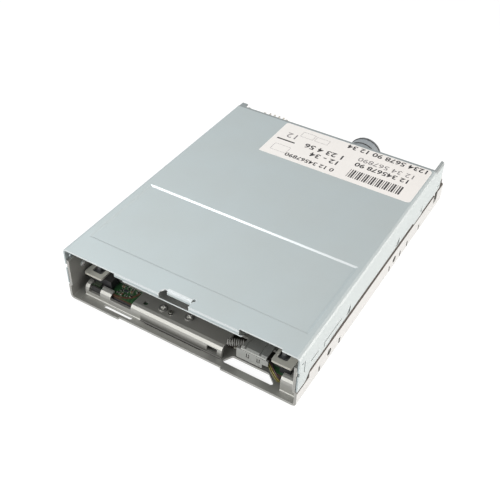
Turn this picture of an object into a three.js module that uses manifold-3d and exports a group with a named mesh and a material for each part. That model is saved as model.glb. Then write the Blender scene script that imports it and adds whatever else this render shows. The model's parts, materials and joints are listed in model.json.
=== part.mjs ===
// 3.5 inch floppy disk drive, one inch high, without its front bezel.
// Millimetres, +Z up, front of the drive towards -Y. The pieces are drawn with y counted back
// from the front edge of the frame, and the whole drive is centred at the end.
// Rest pose: no disk, slide latched back, disk holder up, heads apart, head carriage at track zero.

import * as THREE from 'three';
import { mergeVertices } from 'three/addons/utils/BufferGeometryUtils.js';
import Module from 'manifold-3d';

const wasm = await Module();
wasm.setup();

// Overall sizes
const driveWidth = 101.6;
const driveLength = 140;
const driveHeight = 25.4;
const halfWidth = driveWidth / 2;

// Clearances
const fit = 0.3;
const overrun = 2;

// Places across the drive, right of its middle, as shares of the half width
const acrossShares = {
  windowLeft: -0.6693,
  windowRight: -0.4724,
  lampNotchLeft: -0.876,
  lampNotchRight: -0.7677,
  gapLeft: 0.3425,
  gapRight: 0.8386,
  flangeSlotLeft: -0.7087,
  flangeSlotRight: -0.4429,
  flangeSlitLeft: -0.3406,
  flangeSlitRight: 0.1732,
  setBackLeft: -0.5512,
  setBackRight: 0.3937,
  deckHole: -0.3878,
  lipLeft: -0.5217,
  lipRight: 0.5315,
  cutRight: 0.8583,
  boardGapLeft: 0.2362,
  boardGapRight: 0.7165,
  holderTongueLeft: -0.5413,
  holderTongueRight: 0.5118,
  holderNotch: 0.4724,
  lever: -0.7087,
  leftRod: -0.2953,
  rightRod: 0.3937,
  stepper: 0.2598,
  writeProtect: -0.9469,
  density: 0.7205,
  diskIn: 0.5906,
  lamp: -0.8228,
  mainChip: -0.315,
  stepperChip: 0.4724,
  header: 0.0591,
};
const across = placesOf(acrossShares, halfWidth);

// Places along the drive, back from its front edge, as shares of the length
const alongShares = {
  spindle: 0.3286,
  trackZero: 0.6107,
  panelFront: 0.0786,
  panelBack: 0.3636,
  frontHook: 0.2664,
  middleHook: 0.5943,
  rearHook: 0.7871,
  latchSlit: 0.1371,
  frontSlit: 0.065,
  endSlit: 0.0279,
};
const along = placesOf(alongShares, driveLength);
const spindleY = along.spindle;
const trackZeroY = along.trackZero;

// Disk cartridge and the travels that it asks for
const diskInset = 5.8;
const diskWidth = driveWidth - 2 * diskInset;
const diskSeat = 10.5;
const pocketHeight = 4.2;
const lipBelowDisk = 0.1;
const ejectTravel = 4.8;
const dropTravel = 2.4;
const headTravel = 14.8;
const plungerTravel = 1.3;

// Small hardware
const screw = { head: 1.9, headHeight: 0.7, shank: 0.9, sides: 10 };
const pinSquare = 0.64;

// Frame: a pan pressed from one sheet, its middle drawn up into a deck
const pan = {
  sheet: 1,
  bend: 0.5,
  wallDrop: 5.4,
  wallDepth: 2.6,
  flange: 4.3,
  joggleLow: 9.4,
  joggleRise: 0.8,
  frontJoggleLow: 6.9,
  frontJoggleLength: 8.4,
  deckTop: 6.2,
  deckStart: 7,
  deckRearInset: 14,
  deckInset: 4,
  legLean: 0.7,
};
const wallTop = driveHeight - pan.wallDrop;
const deckUnder = pan.deckTop - pan.sheet;

// Rolled bar and openings at the front of the frame
const bar = { face: 4, roll: 2, setBack: 0.8, run: 3 };
const boardWindow = { sill: 3.8, front: 7.2, back: 13, corner: 3 };
const lampNotch = { sill: 3, back: 7.9, corner: 1.5 };
const buttonGap = { left: across.gapLeft, right: across.gapRight, back: 14, floorBack: 15.5 };
const buttonWell = {
  leftInset: 0.5,
  rightInset: 2,
  front: 3.2,
  back: 7.5,
  leftSlant: 2.4,
  rightSlant: 4.9,
  corner: 0.7,
};
const squareHole = { inset: 1.9, width: 4.5, low: 2, high: 4.6 };
const flangeSlot = { front: 1.9, back: 3.4, corner: 0.7 };
const flangeSlit = { front: 3.2, back: 3.7 };
const cornerPost = { inset: 2.2, face: 3.1, height: 7.5, back: 5.9, roll: 1.6 };

// Side wall features of the frame, the same on both sides
const sideHole = { radius: 1.6, z: 5, front: 25, pitch: 60 };
const bottomHole = { radius: 1.25, inset: 3.2, tabInset: 1.6, tabWidth: 4, tabLength: 8 };
const tabShares = [
  { from: 0.1286, to: 0.2357 },
  { from: 0.5786, to: 0.65 },
  { from: 0.7143, to: 0.8 },
];
const tabRelief = { width: 1.4, height: 4.6 };
const rearNotch = { inset: 11, length: 4, low: 5, high: 12, corner: 0.8 };
const rearSlope = { length: 6, bottom: 12 };
const peepHole = { radius: 1.25, y: 7.1, z: 13.5 };
const headSlot = { left: -6, right: 6.5, room: 1.2, behind: 14.5, corner: 2 };
const deckHole = { y: 8.4, radius: 1.1 };
const boardPost = { radius: 2.6, bore: 1.1 };

// Folded top cover
const cover = {
  sheet: 0.6,
  bend: 0.6,
  rearInset: 14.4,
  lipDepth: 2.1,
  lipRun: 3,
  cutBack: 1,
  rearStrip: 1.2,
  rightInset: 6,
  leftTabInset: 0.9,
  leftTabWidth: 3,
  leftTabLength: 2.7,
};
const coverEnd = driveLength - cover.rearInset;
const lipLow = driveHeight - cover.lipDepth;
const seam = {
  frontLength: 6,
  slopeEnd: 9,
  front: 8,
  low: 11.4,
  mid: 12,
  lowEnd: 24,
  tabInset: 21.6,
  tabLength: 8,
  tab: 10.5,
  slope: 1.5,
};
const panel = { leftInset: 3.5, rightInset: 3, depth: 0.3, slope: 0.9 };
const lipNotch = {
  left: -6.7,
  slant: 1.1,
  tabLeft: -4.6,
  tabRight: 5.7,
  back: 3.2,
  tabDrop: 1.4,
  slit: 0.6,
  hole: 0.7,
  holeX: 6.3,
  holeY: 3.7,
};
const hookLow = 12.6;
const hookHoles = [
  { from: along.frontHook, length: 3.3, height: 3.8 },
  { from: along.middleHook, length: 3.8, height: 3.4 },
  { from: along.rearHook, length: 1.8, height: 3.2 },
];
const slitWidth = 0.6;
const rearDash = { inset: 9.8, length: 1.8, low: 13.6 };
const slits = [
  { from: along.latchSlit, length: 14.1, low: 15, height: slitWidth },
  { from: along.latchSlit, length: slitWidth, low: 12.9, height: 2.4 },
  { from: along.frontSlit, length: 5.5, low: 15.2, height: slitWidth },
  { from: along.endSlit, length: slitWidth, low: 14.6, height: 5.6 },
  { from: driveLength - rearDash.inset, length: rearDash.length, low: rearDash.low, height: slitWidth },
];
const flangeHole = { y: 2.5, drop: 4.9, radius: 0.55 };
const edgeNotch = { depth: 0.9, drop: 7.5, height: 2.1 };

// Motor board under the deck, with the switches at its front corners
const motorBoard = {
  top: 4.9,
  thickness: 1,
  leftInset: 5.8,
  rightInset: 6.4,
  front: 6,
  gapBack: 15.4,
  behindSpindle: 30,
  corner: 2,
};
const motorBoardLow = motorBoard.top - motorBoard.thickness;
const motorBoardLeft = motorBoard.leftInset - halfWidth;
const motorBoardRight = halfWidth - motorBoard.rightInset;
const motorBoardBack = spindleY + motorBoard.behindSpindle;

// Spindle motor
const rotor = { radius: 25, wall: 0.6, low: 0.6, windows: 3, windowSpan: 0.7, windowSteps: 3 };
const windowShares = { inner: 0.36, outer: 0.64 };
const rotorFloor = rotor.low + rotor.wall;
const rotorRim = motorBoardLow - fit;
const shaft = { radius: 2, rise: 1.1 };
const shaftBore = shaft.radius + fit;
const bearing = { outer: 5.7, flange: 8, flangeHeight: 0.6, gap: 0.4 };
const hubTable = { radius: 14.5, lift: 0.4, height: 3.7, rim: 1.6, web: 1.2, boss: 5 };
const hubLow = pan.deckTop + bearing.flangeHeight + hubTable.lift;
const hubTop = hubLow + hubTable.height;
const drivePin = { radius: 1.2, reach: 10, rise: 1.3, angle: 0.7 };
const magnet = { depth: 1.8 };
const magnetInner = rotor.radius - rotor.wall - fit - magnet.depth;
const stator = {
  poles: 12,
  ring: 9.6,
  airGap: 0.7,
  shoeDepth: 1.4,
  toothWidth: 1.8,
  shoeShare: 0.78,
  lift: 0.8,
  thickness: 1,
  coilWidth: 3.6,
  coilInset: 1.4,
  coilGap: 0.8,
  coilOver: 0.35,
};

// Disk holder
const holder = {
  sheet: 0.6,
  bend: 0.5,
  sideGap: 0.4,
  lip: 5.4,
  tongueFront: 4.5,
  tongueCorner: 1,
  front: 13,
  rightBehind: 6.5,
  leftBehind: 16.5,
  sideBehind: 11.5,
  armSlot: 9.5,
  armSlotBehind: 14,
  corner: 3,
  pinRadius: 1,
  pinInset: 1.2,
  pinZ: 15,
  pinAheadOfSpindle: 7,
  pinAheadOfHeads: 0.5,
};
const pinFront = spindleY - holder.pinAheadOfSpindle;
const pinBack = trackZeroY - holder.pinAheadOfHeads;
const lipTop = diskSeat + dropTravel - lipBelowDisk;
const pocketTop = lipTop + pocketHeight;
const holderTop = pocketTop + holder.sheet;
const holderSide = diskWidth / 2 + holder.sideGap + holder.sheet;

// Slide plate, its cams and its button tongue
const slide = {
  sheet: 0.8,
  gap: 0.4,
  bend: 0.6,
  railInset: 13.8,
  armInset: 3.4,
  crossFront: 19,
  crossDepth: 10,
  railTail: 18,
  bandTop: 9.4,
  armOver: 2.2,
  camLead: 5,
  camTail: 7,
  camCornerShare: 0.8,
  corner: 3,
};
const slideLow = pan.deckTop + slide.gap;
const railInner = halfWidth - slide.railInset;
const armOuter = halfWidth - slide.armInset;
const armTop = holder.pinZ + slide.armOver;
const crossBack = slide.crossFront + slide.crossDepth;
const railBack = pinBack + slide.railTail;
const tongue = {
  tabLeftInset: 5.6,
  tabRightInset: 6.6,
  leftInset: 1.6,
  rightInset: 1,
  front: 5.5,
  top: 10,
  rise: 3,
  tabLow: 4.5,
};
const tabLeft = buttonGap.left + tongue.tabLeftInset;
const tabRight = buttonGap.right - tongue.tabRightInset;
const tongueLeft = tabLeft + tongue.leftInset;
const tongueRight = tabRight - tongue.rightInset;
const grooveShares = [0.154, 0.74];
const markShares = [0.231, 0.654];
const tongueGroove = { width: 0.9, depth: 0.3, back: 13 };
const hookMark = { width: 1.3, z: 8.4, tail: 2.1, slit: 0.4 };
const tabStep = { width: 2.4, low: 6.6 };
const guide = {
  inset: 9.8,
  behindFrontPin: 1,
  behindBackPin: 5,
  stem: 1.4,
  head: 2.6,
  headHeight: 0.6,
  lift: 0.3,
};
const spring = {
  radius: 1.5,
  wire: 0.22,
  turns: 8,
  steps: 8,
  sides: 5,
  gap: 0.6,
  reach: 6,
  leftY: 7,
  rightY: 9.5,
};

// Shutter lever on the holder
const leverTipShare = 0.7143;
const lever = {
  x: across.lever,
  behind: 12.5,
  sheet: 0.8,
  lift: 0.3,
  hub: 4,
  width: 4.4,
  stud: 1.6,
  studHead: 2.6,
  studHeadHeight: 0.5,
  pin: 1.25,
  pinOverLip: 0.6,
  web: 0.85,
  restAngle: -36,
  swing: 32,
  slotRoom: 0.4,
  slotSteps: 8,
};
const leverY = trackZeroY + lever.behind;
const leverReach = -lever.x - holder.armSlot - lever.pin - lever.slotRoom - lever.web;

// Upper arm and the pin that it turns on
const armLiftShare = 0.4848;
const arm = {
  pivotInset: 18.5,
  pivotZ: 15.5,
  pin: 1,
  knuckle: 1.7,
  sheet: 1,
  width: 9.2,
  noseWidth: 8,
  noseCorner: 1,
  sideGap: 0.4,
  loadedGap: 0.4,
  rib: 0.9,
  ribWidth: 0.7,
};
const armPivotY = driveLength - arm.pivotInset;
const armReach = armPivotY - trackZeroY;
const armLift = (driveHeight - arm.pivotZ) * armLiftShare;
const armTilt = Math.asin(armLift / armReach);

// Stepper motor and its bracket
const bracket = { sheet: 1, sideOver: 0.2, foot: 5.2, hole: 2.6, corner: 3, screwInset: 2.8 };
const stepperShares = { recess: 0.684, boss: 0.29 };
const stepper = {
  x: across.stepper,
  inset: 19.6,
  length: 15.6,
  footGap: 1,
  coverGap: 2,
  recessDepth: 1.1,
  bore: 1.5,
  boreDepth: 3,
  groove: 0.35,
  grooveWidth: 0.6,
  sides: 24,
};
const stepperTop = driveHeight - stepper.coverGap;
const stepperLow = pan.deckTop + bracket.sheet + stepper.footGap;
const stepperRadius = (stepperTop - stepperLow) / 2;
const stepperZ = stepperLow + stepperRadius;
const stepperFront = driveLength - stepper.inset;
const stepperBack = stepperFront + stepper.length;

// Lead screw
const endBearing = { behind: 8.4, length: 1.8, width: 4.6, over: 2.2 };
const endBearingFront = trackZeroY + endBearing.behind;
const endBearingBack = endBearingFront + endBearing.length;
const thread = {
  core: 1.15,
  crest: 1.75,
  pitch: 3.75,
  frontGap: 0.7,
  backGap: 1.8,
  journal: 1,
  sides: 10,
  stepsPerTurn: 7,
};
const threadFront = endBearingBack + thread.frontGap;
const threadBack = stepperFront - thread.backGap;

// Head carriage, its rods and its heads
const follower = { ahead: 6.5, radius: 0.8, tip: 0.35 };
const followerY = armPivotY - follower.ahead;
const rod = {
  radius: 1.2,
  lift: 0.5,
  room: 1.8,
  tail: 5,
  leftX: across.leftRod,
  rightX: across.rightRod,
  sides: 12,
};
const rodZ = pan.deckTop + rod.lift + rod.radius;
const rodClip = { width: 5.6, length: 3, over: 0.8, corner: 1 };
const carriage = {
  low: 7.2,
  frontTop: 9.8,
  top: 13.2,
  ahead: 7.5,
  stepBehind: 8.5,
  slope: 3,
  tail: 1.7,
  left: -9,
  bracketGap: 0.8,
  noseWidth: 14,
  earDepth: 4,
  earWidth: 2.4,
  earOver: 1.8,
  earCorner: 1,
  columnGap: 3.9,
  columnLength: 6,
  lugOver: 1,
  lugSide: 2.6,
  leftLugBehind: 4.5,
  rightLugAhead: 1.5,
  rightLugLength: 5,
};
const bracketHalf = stepperRadius + bracket.sideOver;
const carriageRight = stepper.x - bracketHalf - carriage.bracketGap;
const armLeft = carriage.left + carriage.earWidth + arm.sideGap;
const armRight = carriageRight - carriage.earWidth - arm.sideGap;
const carriageFront = trackZeroY - carriage.ahead;
const carriageStep = trackZeroY + carriage.stepBehind;
const carriageBack = armPivotY + carriage.tail;
const earTop = arm.pivotZ + carriage.earOver;
const columnRight = stepper.x - carriage.columnGap;
const lugTop = rodZ + rod.radius + carriage.lugOver;
const leftLugFront = trackZeroY + carriage.leftLugBehind;
const leftLugBack = followerY - carriage.columnLength / 2;
const rightLugFront = trackZeroY - carriage.rightLugAhead;
const rightLugBack = rightLugFront + carriage.rightLugLength;
const leftRodFront = leftLugFront - headTravel - rodClip.length - rod.room;
const rightRodFront = rightLugFront - headTravel - rodClip.length - rod.room;
const head = { width: 7.2, length: 8, rise: 1.5, corner: 0.8 };
const headTop = diskSeat + head.rise;
const sensor = { gap: 2, width: 5, ahead: 9, length: 7, base: 2, height: 6.2, slotWidth: 2.2 };

// Switches
const switchBody = {
  lift: 0.4,
  height: 3.4,
  floor: 1,
  front: 6.4,
  back: 12.5,
  notchFront: 8.7,
  corner: 0.7,
  setBack: 1.2,
  sideInset: 0.7,
  cap: 0.9,
};
const switchLow = pan.deckTop + switchBody.lift;
const switchFloor = switchLow + switchBody.floor;
const switchTop = switchLow + switchBody.height;
const capLow = switchTop - switchBody.cap;
const writeProtect = {
  left: across.writeProtect,
  width: 8.5,
  notchInset: 2.1,
  notchWidth: 4.7,
  base: { inset: 2.9, width: 9.2, front: 7.9, back: 12.2 },
};
const density = {
  left: across.density,
  width: 8.4,
  notchInset: 1.3,
  notchWidth: 4.1,
  base: { inset: 3.4, width: 4.3, front: 7.2, back: 12.2 },
};
const plunger = { baseDrop: 0.7, rise: 1.7, pin: 1.1, sides: 12, pinBack: 1.4 };
const plungerTop = switchTop + plunger.rise;
const diskIn = { behindSpindle: 16, width: 5.2, length: 6.4, top: 9.9, button: 1.3 };
const lamp = { width: 3, front: 6.1, back: 7.6, height: 1.5 };

// Boards and connectors at the rear
const mainBoard = {
  low: 1,
  thickness: 1.2,
  sideInset: 5.8,
  gap: 1,
  rearInset: 6,
  corner: 1.5,
  notchWidth: 13,
  notchDepth: 6,
};
const mainBoardTop = mainBoard.low + mainBoard.thickness;
const mainBoardFront = motorBoardBack + mainBoard.gap;
const mainBoardBack = driveLength - mainBoard.rearInset;
const mainChip = { behind: 21, width: 12, height: 1.7, corner: 0.6 };
const stepperChip = { behind: 27, width: 10, depth: 7.2, height: 1.5 };
const motorChip = { ahead: 13, width: 6.8, depth: 10.4, height: 1.4 };
const header = {
  rows: 2,
  columns: 17,
  pitch: 2.54,
  inset: 11.5,
  depth: 2.5,
  height: 4.9,
  tipInset: 0.5,
  rowRise: 1.2,
  margin: 1,
};
const power = {
  sideInset: 7.8,
  width: 13.5,
  inset: 13.1,
  wallDepth: 3.1,
  backInset: 2.4,
  floorRise: 10.9,
  floor: 1,
  ear: 1.2,
  earHeight: 4.5,
  height: 5.9,
  pins: 4,
  pitch: 2.5,
  pinRise: 3.5,
  tipInset: 1,
  leg: 2.4,
};

// Places of the screws, as shares of the board that they hold
const motorScrewShares = [
  { across: 0.3647, along: 0.05 },
  { across: 0.4899, along: 0.0672 },
  { across: 0.1566, along: 0.9 },
  { across: 0.8613, along: 0.9143 },
];
const locatingPinShares = { across: 0.4072, along: 0.0442 };
const boardScrewShares = [
  { across: 0.0556, along: 0.1053 },
  { across: 0.9444, along: 0.1053 },
  { across: 0.2333, along: 0.7719 },
];
const motorBoardSpan = [motorBoardLeft, motorBoardRight, motorBoard.front, motorBoardBack];
const mainBoardHalf = halfWidth - mainBoard.sideInset;
const mainBoardSpan = [-mainBoardHalf, mainBoardHalf, mainBoardFront, mainBoardBack];
const motorScrews = motorScrewShares.map((shares) => placeOn(motorBoardSpan, shares));
const boardScrews = boardScrewShares.map((shares) => placeOn(mainBoardSpan, shares));
const locatingPin = { ...placeOn(motorBoardSpan, locatingPinShares), radius: 0.8, rise: 0.9 };

// Finishes
const finishes = {
  coverSteel: { color: '#b9c2c6', roughness: 0.38, metalness: 0.85 },
  frameSteel: { color: '#a9abab', roughness: 0.42, metalness: 0.85 },
  darkSteel: { color: '#80847f', roughness: 0.4, metalness: 0.85 },
  brightSteel: { color: '#cfd1d0', roughness: 0.25, metalness: 0.95 },
  board: { color: '#2f6b3c', roughness: 0.6, metalness: 0 },
  black: { color: '#232425', roughness: 0.55, metalness: 0 },
  ivory: { color: '#d8d6c8', roughness: 0.5, metalness: 0 },
  greyPlastic: { color: '#55585a', roughness: 0.55, metalness: 0 },
  copper: { color: '#a8602f', roughness: 0.4, metalness: 0.7 },
  brass: { color: '#b99a55', roughness: 0.35, metalness: 0.9 },
  magnet: { color: '#3b3836', roughness: 0.7, metalness: 0.1 },
  ceramic: { color: '#e6e4de', roughness: 0.3, metalness: 0 },
  lamp: { color: '#7fae5a', roughness: 0.25, metalness: 0 },
  motorCan: { color: '#8f9496', roughness: 0.4, metalness: 0.8 },
};

// Geometry to solid and back

function solid(geometry) {
  const bare = geometry.index ? geometry.toNonIndexed() : geometry.clone();
  bare.deleteAttribute('normal');
  bare.deleteAttribute('uv');
  const merged = mergeVertices(bare);
  const corners = merged.index.array;
  const kept = [];
  for (let i = 0; i < corners.length; i += 3) {
    const [a, b, c] = [corners[i], corners[i + 1], corners[i + 2]];
    if (a !== b && b !== c && c !== a) kept.push(a, b, c);
  }
  return new wasm.Manifold(new wasm.Mesh({
    numProp: 3,
    vertProperties: new Float32Array(merged.attributes.position.array),
    triVerts: new Uint32Array(kept),
  }));
}

function geometryOf(body) {
  const mesh = body.getMesh();
  const geometry = new THREE.BufferGeometry();
  geometry.setAttribute('position', new THREE.BufferAttribute(mesh.vertProperties, mesh.numProp));
  geometry.setIndex(new THREE.BufferAttribute(mesh.triVerts, 1));
  geometry.computeVertexNormals();
  return geometry;
}

function join(bodies) {
  return bodies.reduce((whole, body) => whole.add(body));
}

function cut(body, tools) {
  return tools.reduce((rest, tool) => rest.subtract(tool), body);
}

// Shares of a size made into places
function placesOf(shares, size) {
  return Object.fromEntries(Object.entries(shares).map(([name, share]) => [name, share * size]));
}

function placeOn([left, right, front, back], shares) {
  return { x: left + shares.across * (right - left), y: front + shares.along * (back - front) };
}

// Outlines

// Rounds each corner [u, v, radius] of a path into an arc, and gives its points with their normals
function rounded(corners, closed, arcSteps = 2) {
  const found = [];
  const count = corners.length;
  corners.forEach(([u, v, radius = 0], index) => {
    const here = new THREE.Vector2(u, v);
    const before = corners[(index + count - 1) % count];
    const after = corners[(index + 1) % count];
    const into = here.clone().sub(new THREE.Vector2(before[0], before[1])).normalize();
    const out = new THREE.Vector2(after[0], after[1]).sub(here).normalize();
    if (!closed && index === 0) into.copy(out);
    if (!closed && index === count - 1) out.copy(into);
    const turn = Math.atan2(into.cross(out), into.dot(out));
    const normal = new THREE.Vector2(-into.y, into.x);
    if (!radius || Math.abs(turn) < 1e-6) {
      const miter = normal.clone().add(new THREE.Vector2(-out.y, out.x));
      miter.multiplyScalar(2 / miter.lengthSq());
      found.push({ point: here, normal: miter });
      return;
    }
    const start = here.clone().addScaledVector(into, -radius * Math.tan(Math.abs(turn) / 2));
    const centre = start.clone().addScaledVector(normal, Math.sign(turn) * radius);
    for (let step = 0; step <= arcSteps; step += 1) {
      const angle = (turn * step) / arcSteps;
      const point = start.clone().rotateAround(centre, angle);
      found.push({ point, normal: normal.clone().rotateAround(new THREE.Vector2(), angle) });
    }
  });
  return found;
}

function outline(corners, arcSteps) {
  return new THREE.Shape(rounded(corners, true, arcSteps).map(({ point }) => point));
}

// A folded sheet seen on edge: corners lie along the middle of the sheet
function foldedStrip(corners, sheet, arcSteps = 2) {
  const line = rounded(corners, false, arcSteps);
  const left = line.map(({ point, normal }) => point.clone().addScaledVector(normal, sheet / 2));
  const right = line.map(({ point, normal }) => point.clone().addScaledVector(normal, -sheet / 2));
  return new THREE.Shape([...left, ...right.reverse()]);
}

function rectangle(uFrom, uTo, vFrom, vTo, corner = 0, arcSteps = 2) {
  return outline([
    [uFrom, vFrom, corner],
    [uTo, vFrom, corner],
    [uTo, vTo, corner],
    [uFrom, vTo, corner],
  ], arcSteps);
}

function ring(u, v, radius, sides) {
  const points = [];
  for (let side = 0; side < sides; side += 1) {
    const angle = (2 * Math.PI * (side + 0.5)) / sides;
    points.push(new THREE.Vector2(u + radius * Math.cos(angle), v + radius * Math.sin(angle)));
  }
  return new THREE.Shape(points);
}

// Outlines drawn out along an axis. Across x they lie in (y, z), across y in (x, z)

function extruded(shape, depth) {
  return new THREE.ExtrudeGeometry(shape, { depth, bevelEnabled: false, curveSegments: 1 });
}

function prismX(shape, from, to) {
  const turn = new THREE.Matrix4().set(0, 0, 1, from, 1, 0, 0, 0, 0, 1, 0, 0, 0, 0, 0, 1);
  return solid(extruded(shape, to - from).applyMatrix4(turn));
}

function prismY(shape, from, to) {
  return solid(extruded(shape, to - from).rotateX(Math.PI / 2).translate(0, to, 0));
}

function prismZ(shape, from, to) {
  return solid(extruded(shape, to - from).translate(0, 0, from));
}

function block(xFrom, xTo, yFrom, yTo, zFrom, zTo) {
  const geometry = new THREE.BoxGeometry(xTo - xFrom, yTo - yFrom, zTo - zFrom);
  return solid(geometry.translate((xFrom + xTo) / 2, (yFrom + yTo) / 2, (zFrom + zTo) / 2));
}

// A profile [radius, height] turned about the z axis, up its outside first
function turnedGeometry(profile, sides) {
  const points = profile.map(([radius, height]) => new THREE.Vector2(radius, height));
  return new THREE.LatheGeometry(points, sides).rotateX(Math.PI / 2);
}

function turned(profile, sides, x, y) {
  return solid(turnedGeometry(profile, sides).translate(x, y, 0));
}

// The same about a line along y, heights then run from the front backwards
function turnedAlongY(profile, sides, x, z) {
  return solid(turnedGeometry(profile, sides).rotateX(-Math.PI / 2).translate(x, 0, z));
}

// The drive itself

const drive = new THREE.Group();
drive.position.y = -driveLength / 2;

function piece(name, body, finish, carrier = drive) {
  const mesh = new THREE.Mesh(geometryOf(body), new THREE.MeshStandardMaterial(finish));
  mesh.name = name;
  carrier.add(mesh);
}

// Frame

function sideWall(side, joggleLow, from, to) {
  const wall = side * (halfWidth - pan.sheet / 2);
  const upper = side * (halfWidth - cover.sheet - fit - pan.sheet / 2);
  const path = [
    [side * (halfWidth - pan.flange), pan.sheet / 2],
    [wall, pan.sheet / 2, pan.bend + pan.sheet / 2],
    [wall, joggleLow],
    [upper, joggleLow + pan.joggleRise],
    [upper, wallTop],
  ];
  return prismY(foldedStrip(path, pan.sheet), from, to);
}

function panBody() {
  const legTop = halfWidth - pan.deckInset - pan.sheet / 2;
  const deckMiddle = pan.deckTop - pan.sheet / 2;
  const bend = pan.bend + pan.sheet / 2;
  const deckPath = [
    [-legTop - pan.legLean, pan.sheet / 2],
    [-legTop, deckMiddle, bend],
    [legTop, deckMiddle, bend],
    [legTop + pan.legLean, pan.sheet / 2],
  ];
  const barPath = [
    [0, pan.sheet / 2],
    [bar.face + pan.sheet / 2, pan.sheet / 2, bend],
    [bar.face + pan.sheet / 2, deckMiddle, bar.roll],
    [pan.deckStart + bar.run, deckMiddle],
  ];
  const postMiddle = cornerPost.height - pan.sheet / 2;
  const postPath = [
    [0, pan.sheet / 2],
    [cornerPost.face + pan.sheet / 2, pan.sheet / 2, bend],
    [cornerPost.face + pan.sheet / 2, postMiddle, cornerPost.roll],
    [cornerPost.back, postMiddle],
  ];
  const rolledBar = cut(prismX(foldedStrip(barPath, pan.sheet, 3), -legTop, buttonGap.right), [
    prismX(rectangle(bar.face - overrun, buttonGap.back, pan.sheet, wallTop), buttonGap.left,
      buttonGap.right + overrun),
  ]);
  const walls = [-1, 1].flatMap((side) => [
    sideWall(side, pan.frontJoggleLow, 0, pan.frontJoggleLength),
    sideWall(side, pan.joggleLow, pan.frontJoggleLength, driveLength),
  ]);
  return join([
    prismY(foldedStrip(deckPath, pan.sheet), pan.deckStart, driveLength - pan.deckRearInset),
    rolledBar,
    block(-legTop, buttonGap.right, 0, buttonGap.floorBack, 0, pan.sheet),
    prismX(foldedStrip(postPath, pan.sheet, 3), buttonGap.right, halfWidth - cornerPost.inset),
    ...walls,
  ]);
}

function frontCuts() {
  const barTop = pan.deckTop + overrun;
  const wellLeft = buttonGap.left + buttonWell.leftInset;
  const wellRight = buttonGap.right - buttonWell.rightInset;
  const holeRight = buttonGap.left - squareHole.inset;
  const underFlange = [-overrun, pan.sheet + overrun];
  return [
    block(buttonGap.left, buttonGap.right, -overrun, buttonGap.back, pan.sheet, barTop),
    block(across.lampNotchLeft, across.windowRight, boardWindow.front, boardWindow.back,
      boardWindow.sill, barTop),
    prismZ(outline([
      [wellLeft, buttonWell.front, buttonWell.corner],
      [wellRight, buttonWell.front, buttonWell.corner],
      [wellRight - buttonWell.rightSlant, buttonWell.back, buttonWell.corner],
      [wellLeft + buttonWell.leftSlant, buttonWell.back, buttonWell.corner],
    ]), ...underFlange),
    prismZ(outline([
      [across.windowLeft, -overrun],
      [across.windowRight, -overrun],
      [across.windowRight, boardWindow.back, boardWindow.corner],
      [across.windowLeft, boardWindow.back],
    ]), boardWindow.sill, barTop),
    prismZ(outline([
      [across.lampNotchLeft, -overrun],
      [across.lampNotchRight, -overrun],
      [across.lampNotchRight, lampNotch.back, lampNotch.corner],
      [across.lampNotchLeft, lampNotch.back, lampNotch.corner],
    ]), lampNotch.sill, barTop),
    block(holeRight - squareHole.width, holeRight, pan.sheet + overrun, pan.deckStart,
      squareHole.low, squareHole.high),
    prismZ(rectangle(across.flangeSlotLeft, across.flangeSlotRight, flangeSlot.front, flangeSlot.back,
      flangeSlot.corner), ...underFlange),
    block(
      across.flangeSlitLeft,
      across.flangeSlitRight,
      flangeSlit.front,
      flangeSlit.back,
      -overrun,
      pan.sheet,
    ),
    prismZ(outline([
      [across.setBackLeft, -overrun],
      [across.setBackRight, -overrun],
      [across.setBackRight - bar.setBack, bar.setBack],
      [across.setBackLeft + bar.setBack, bar.setBack],
    ]), ...underFlange),
  ];
}

function deckCuts() {
  const through = [deckUnder - overrun, pan.deckTop + overrun];
  const screwHole = ({ x, y }) => ring(x, y, screw.shank + fit, screw.sides);
  const screwHoles = motorScrews.map((place) => prismZ(screwHole(place), ...through));
  const headSlotFront = carriageFront - headTravel - headSlot.room;
  const headSlotBack = trackZeroY + headSlot.behind;
  const switchHoles = [writeProtect, density].map((place) => block(
    place.left + place.base.inset - fit,
    place.left + place.base.inset + place.base.width + fit,
    place.base.front - fit,
    place.base.back + fit,
    ...through,
  ));
  const diskInY = spindleY + diskIn.behindSpindle;
  const diskInX = [across.diskIn - diskIn.width / 2 - fit, across.diskIn + diskIn.width / 2 + fit];
  return [
    prismZ(ring(0, spindleY, bearing.outer + fit, 20), ...through),
    prismZ(
      rectangle(headSlot.left, headSlot.right, headSlotFront, headSlotBack, headSlot.corner),
      ...through,
    ),
    prismZ(ring(across.deckHole, deckHole.y, deckHole.radius, screw.sides), ...through),
    prismZ(ring(locatingPin.x, locatingPin.y, locatingPin.radius + fit, screw.sides), ...through),
    ...switchHoles,
    block(...diskInX, diskInY - diskIn.length / 2 - fit, diskInY + diskIn.length / 2 + fit, ...through),
    ...screwHoles,
  ];
}

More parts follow.
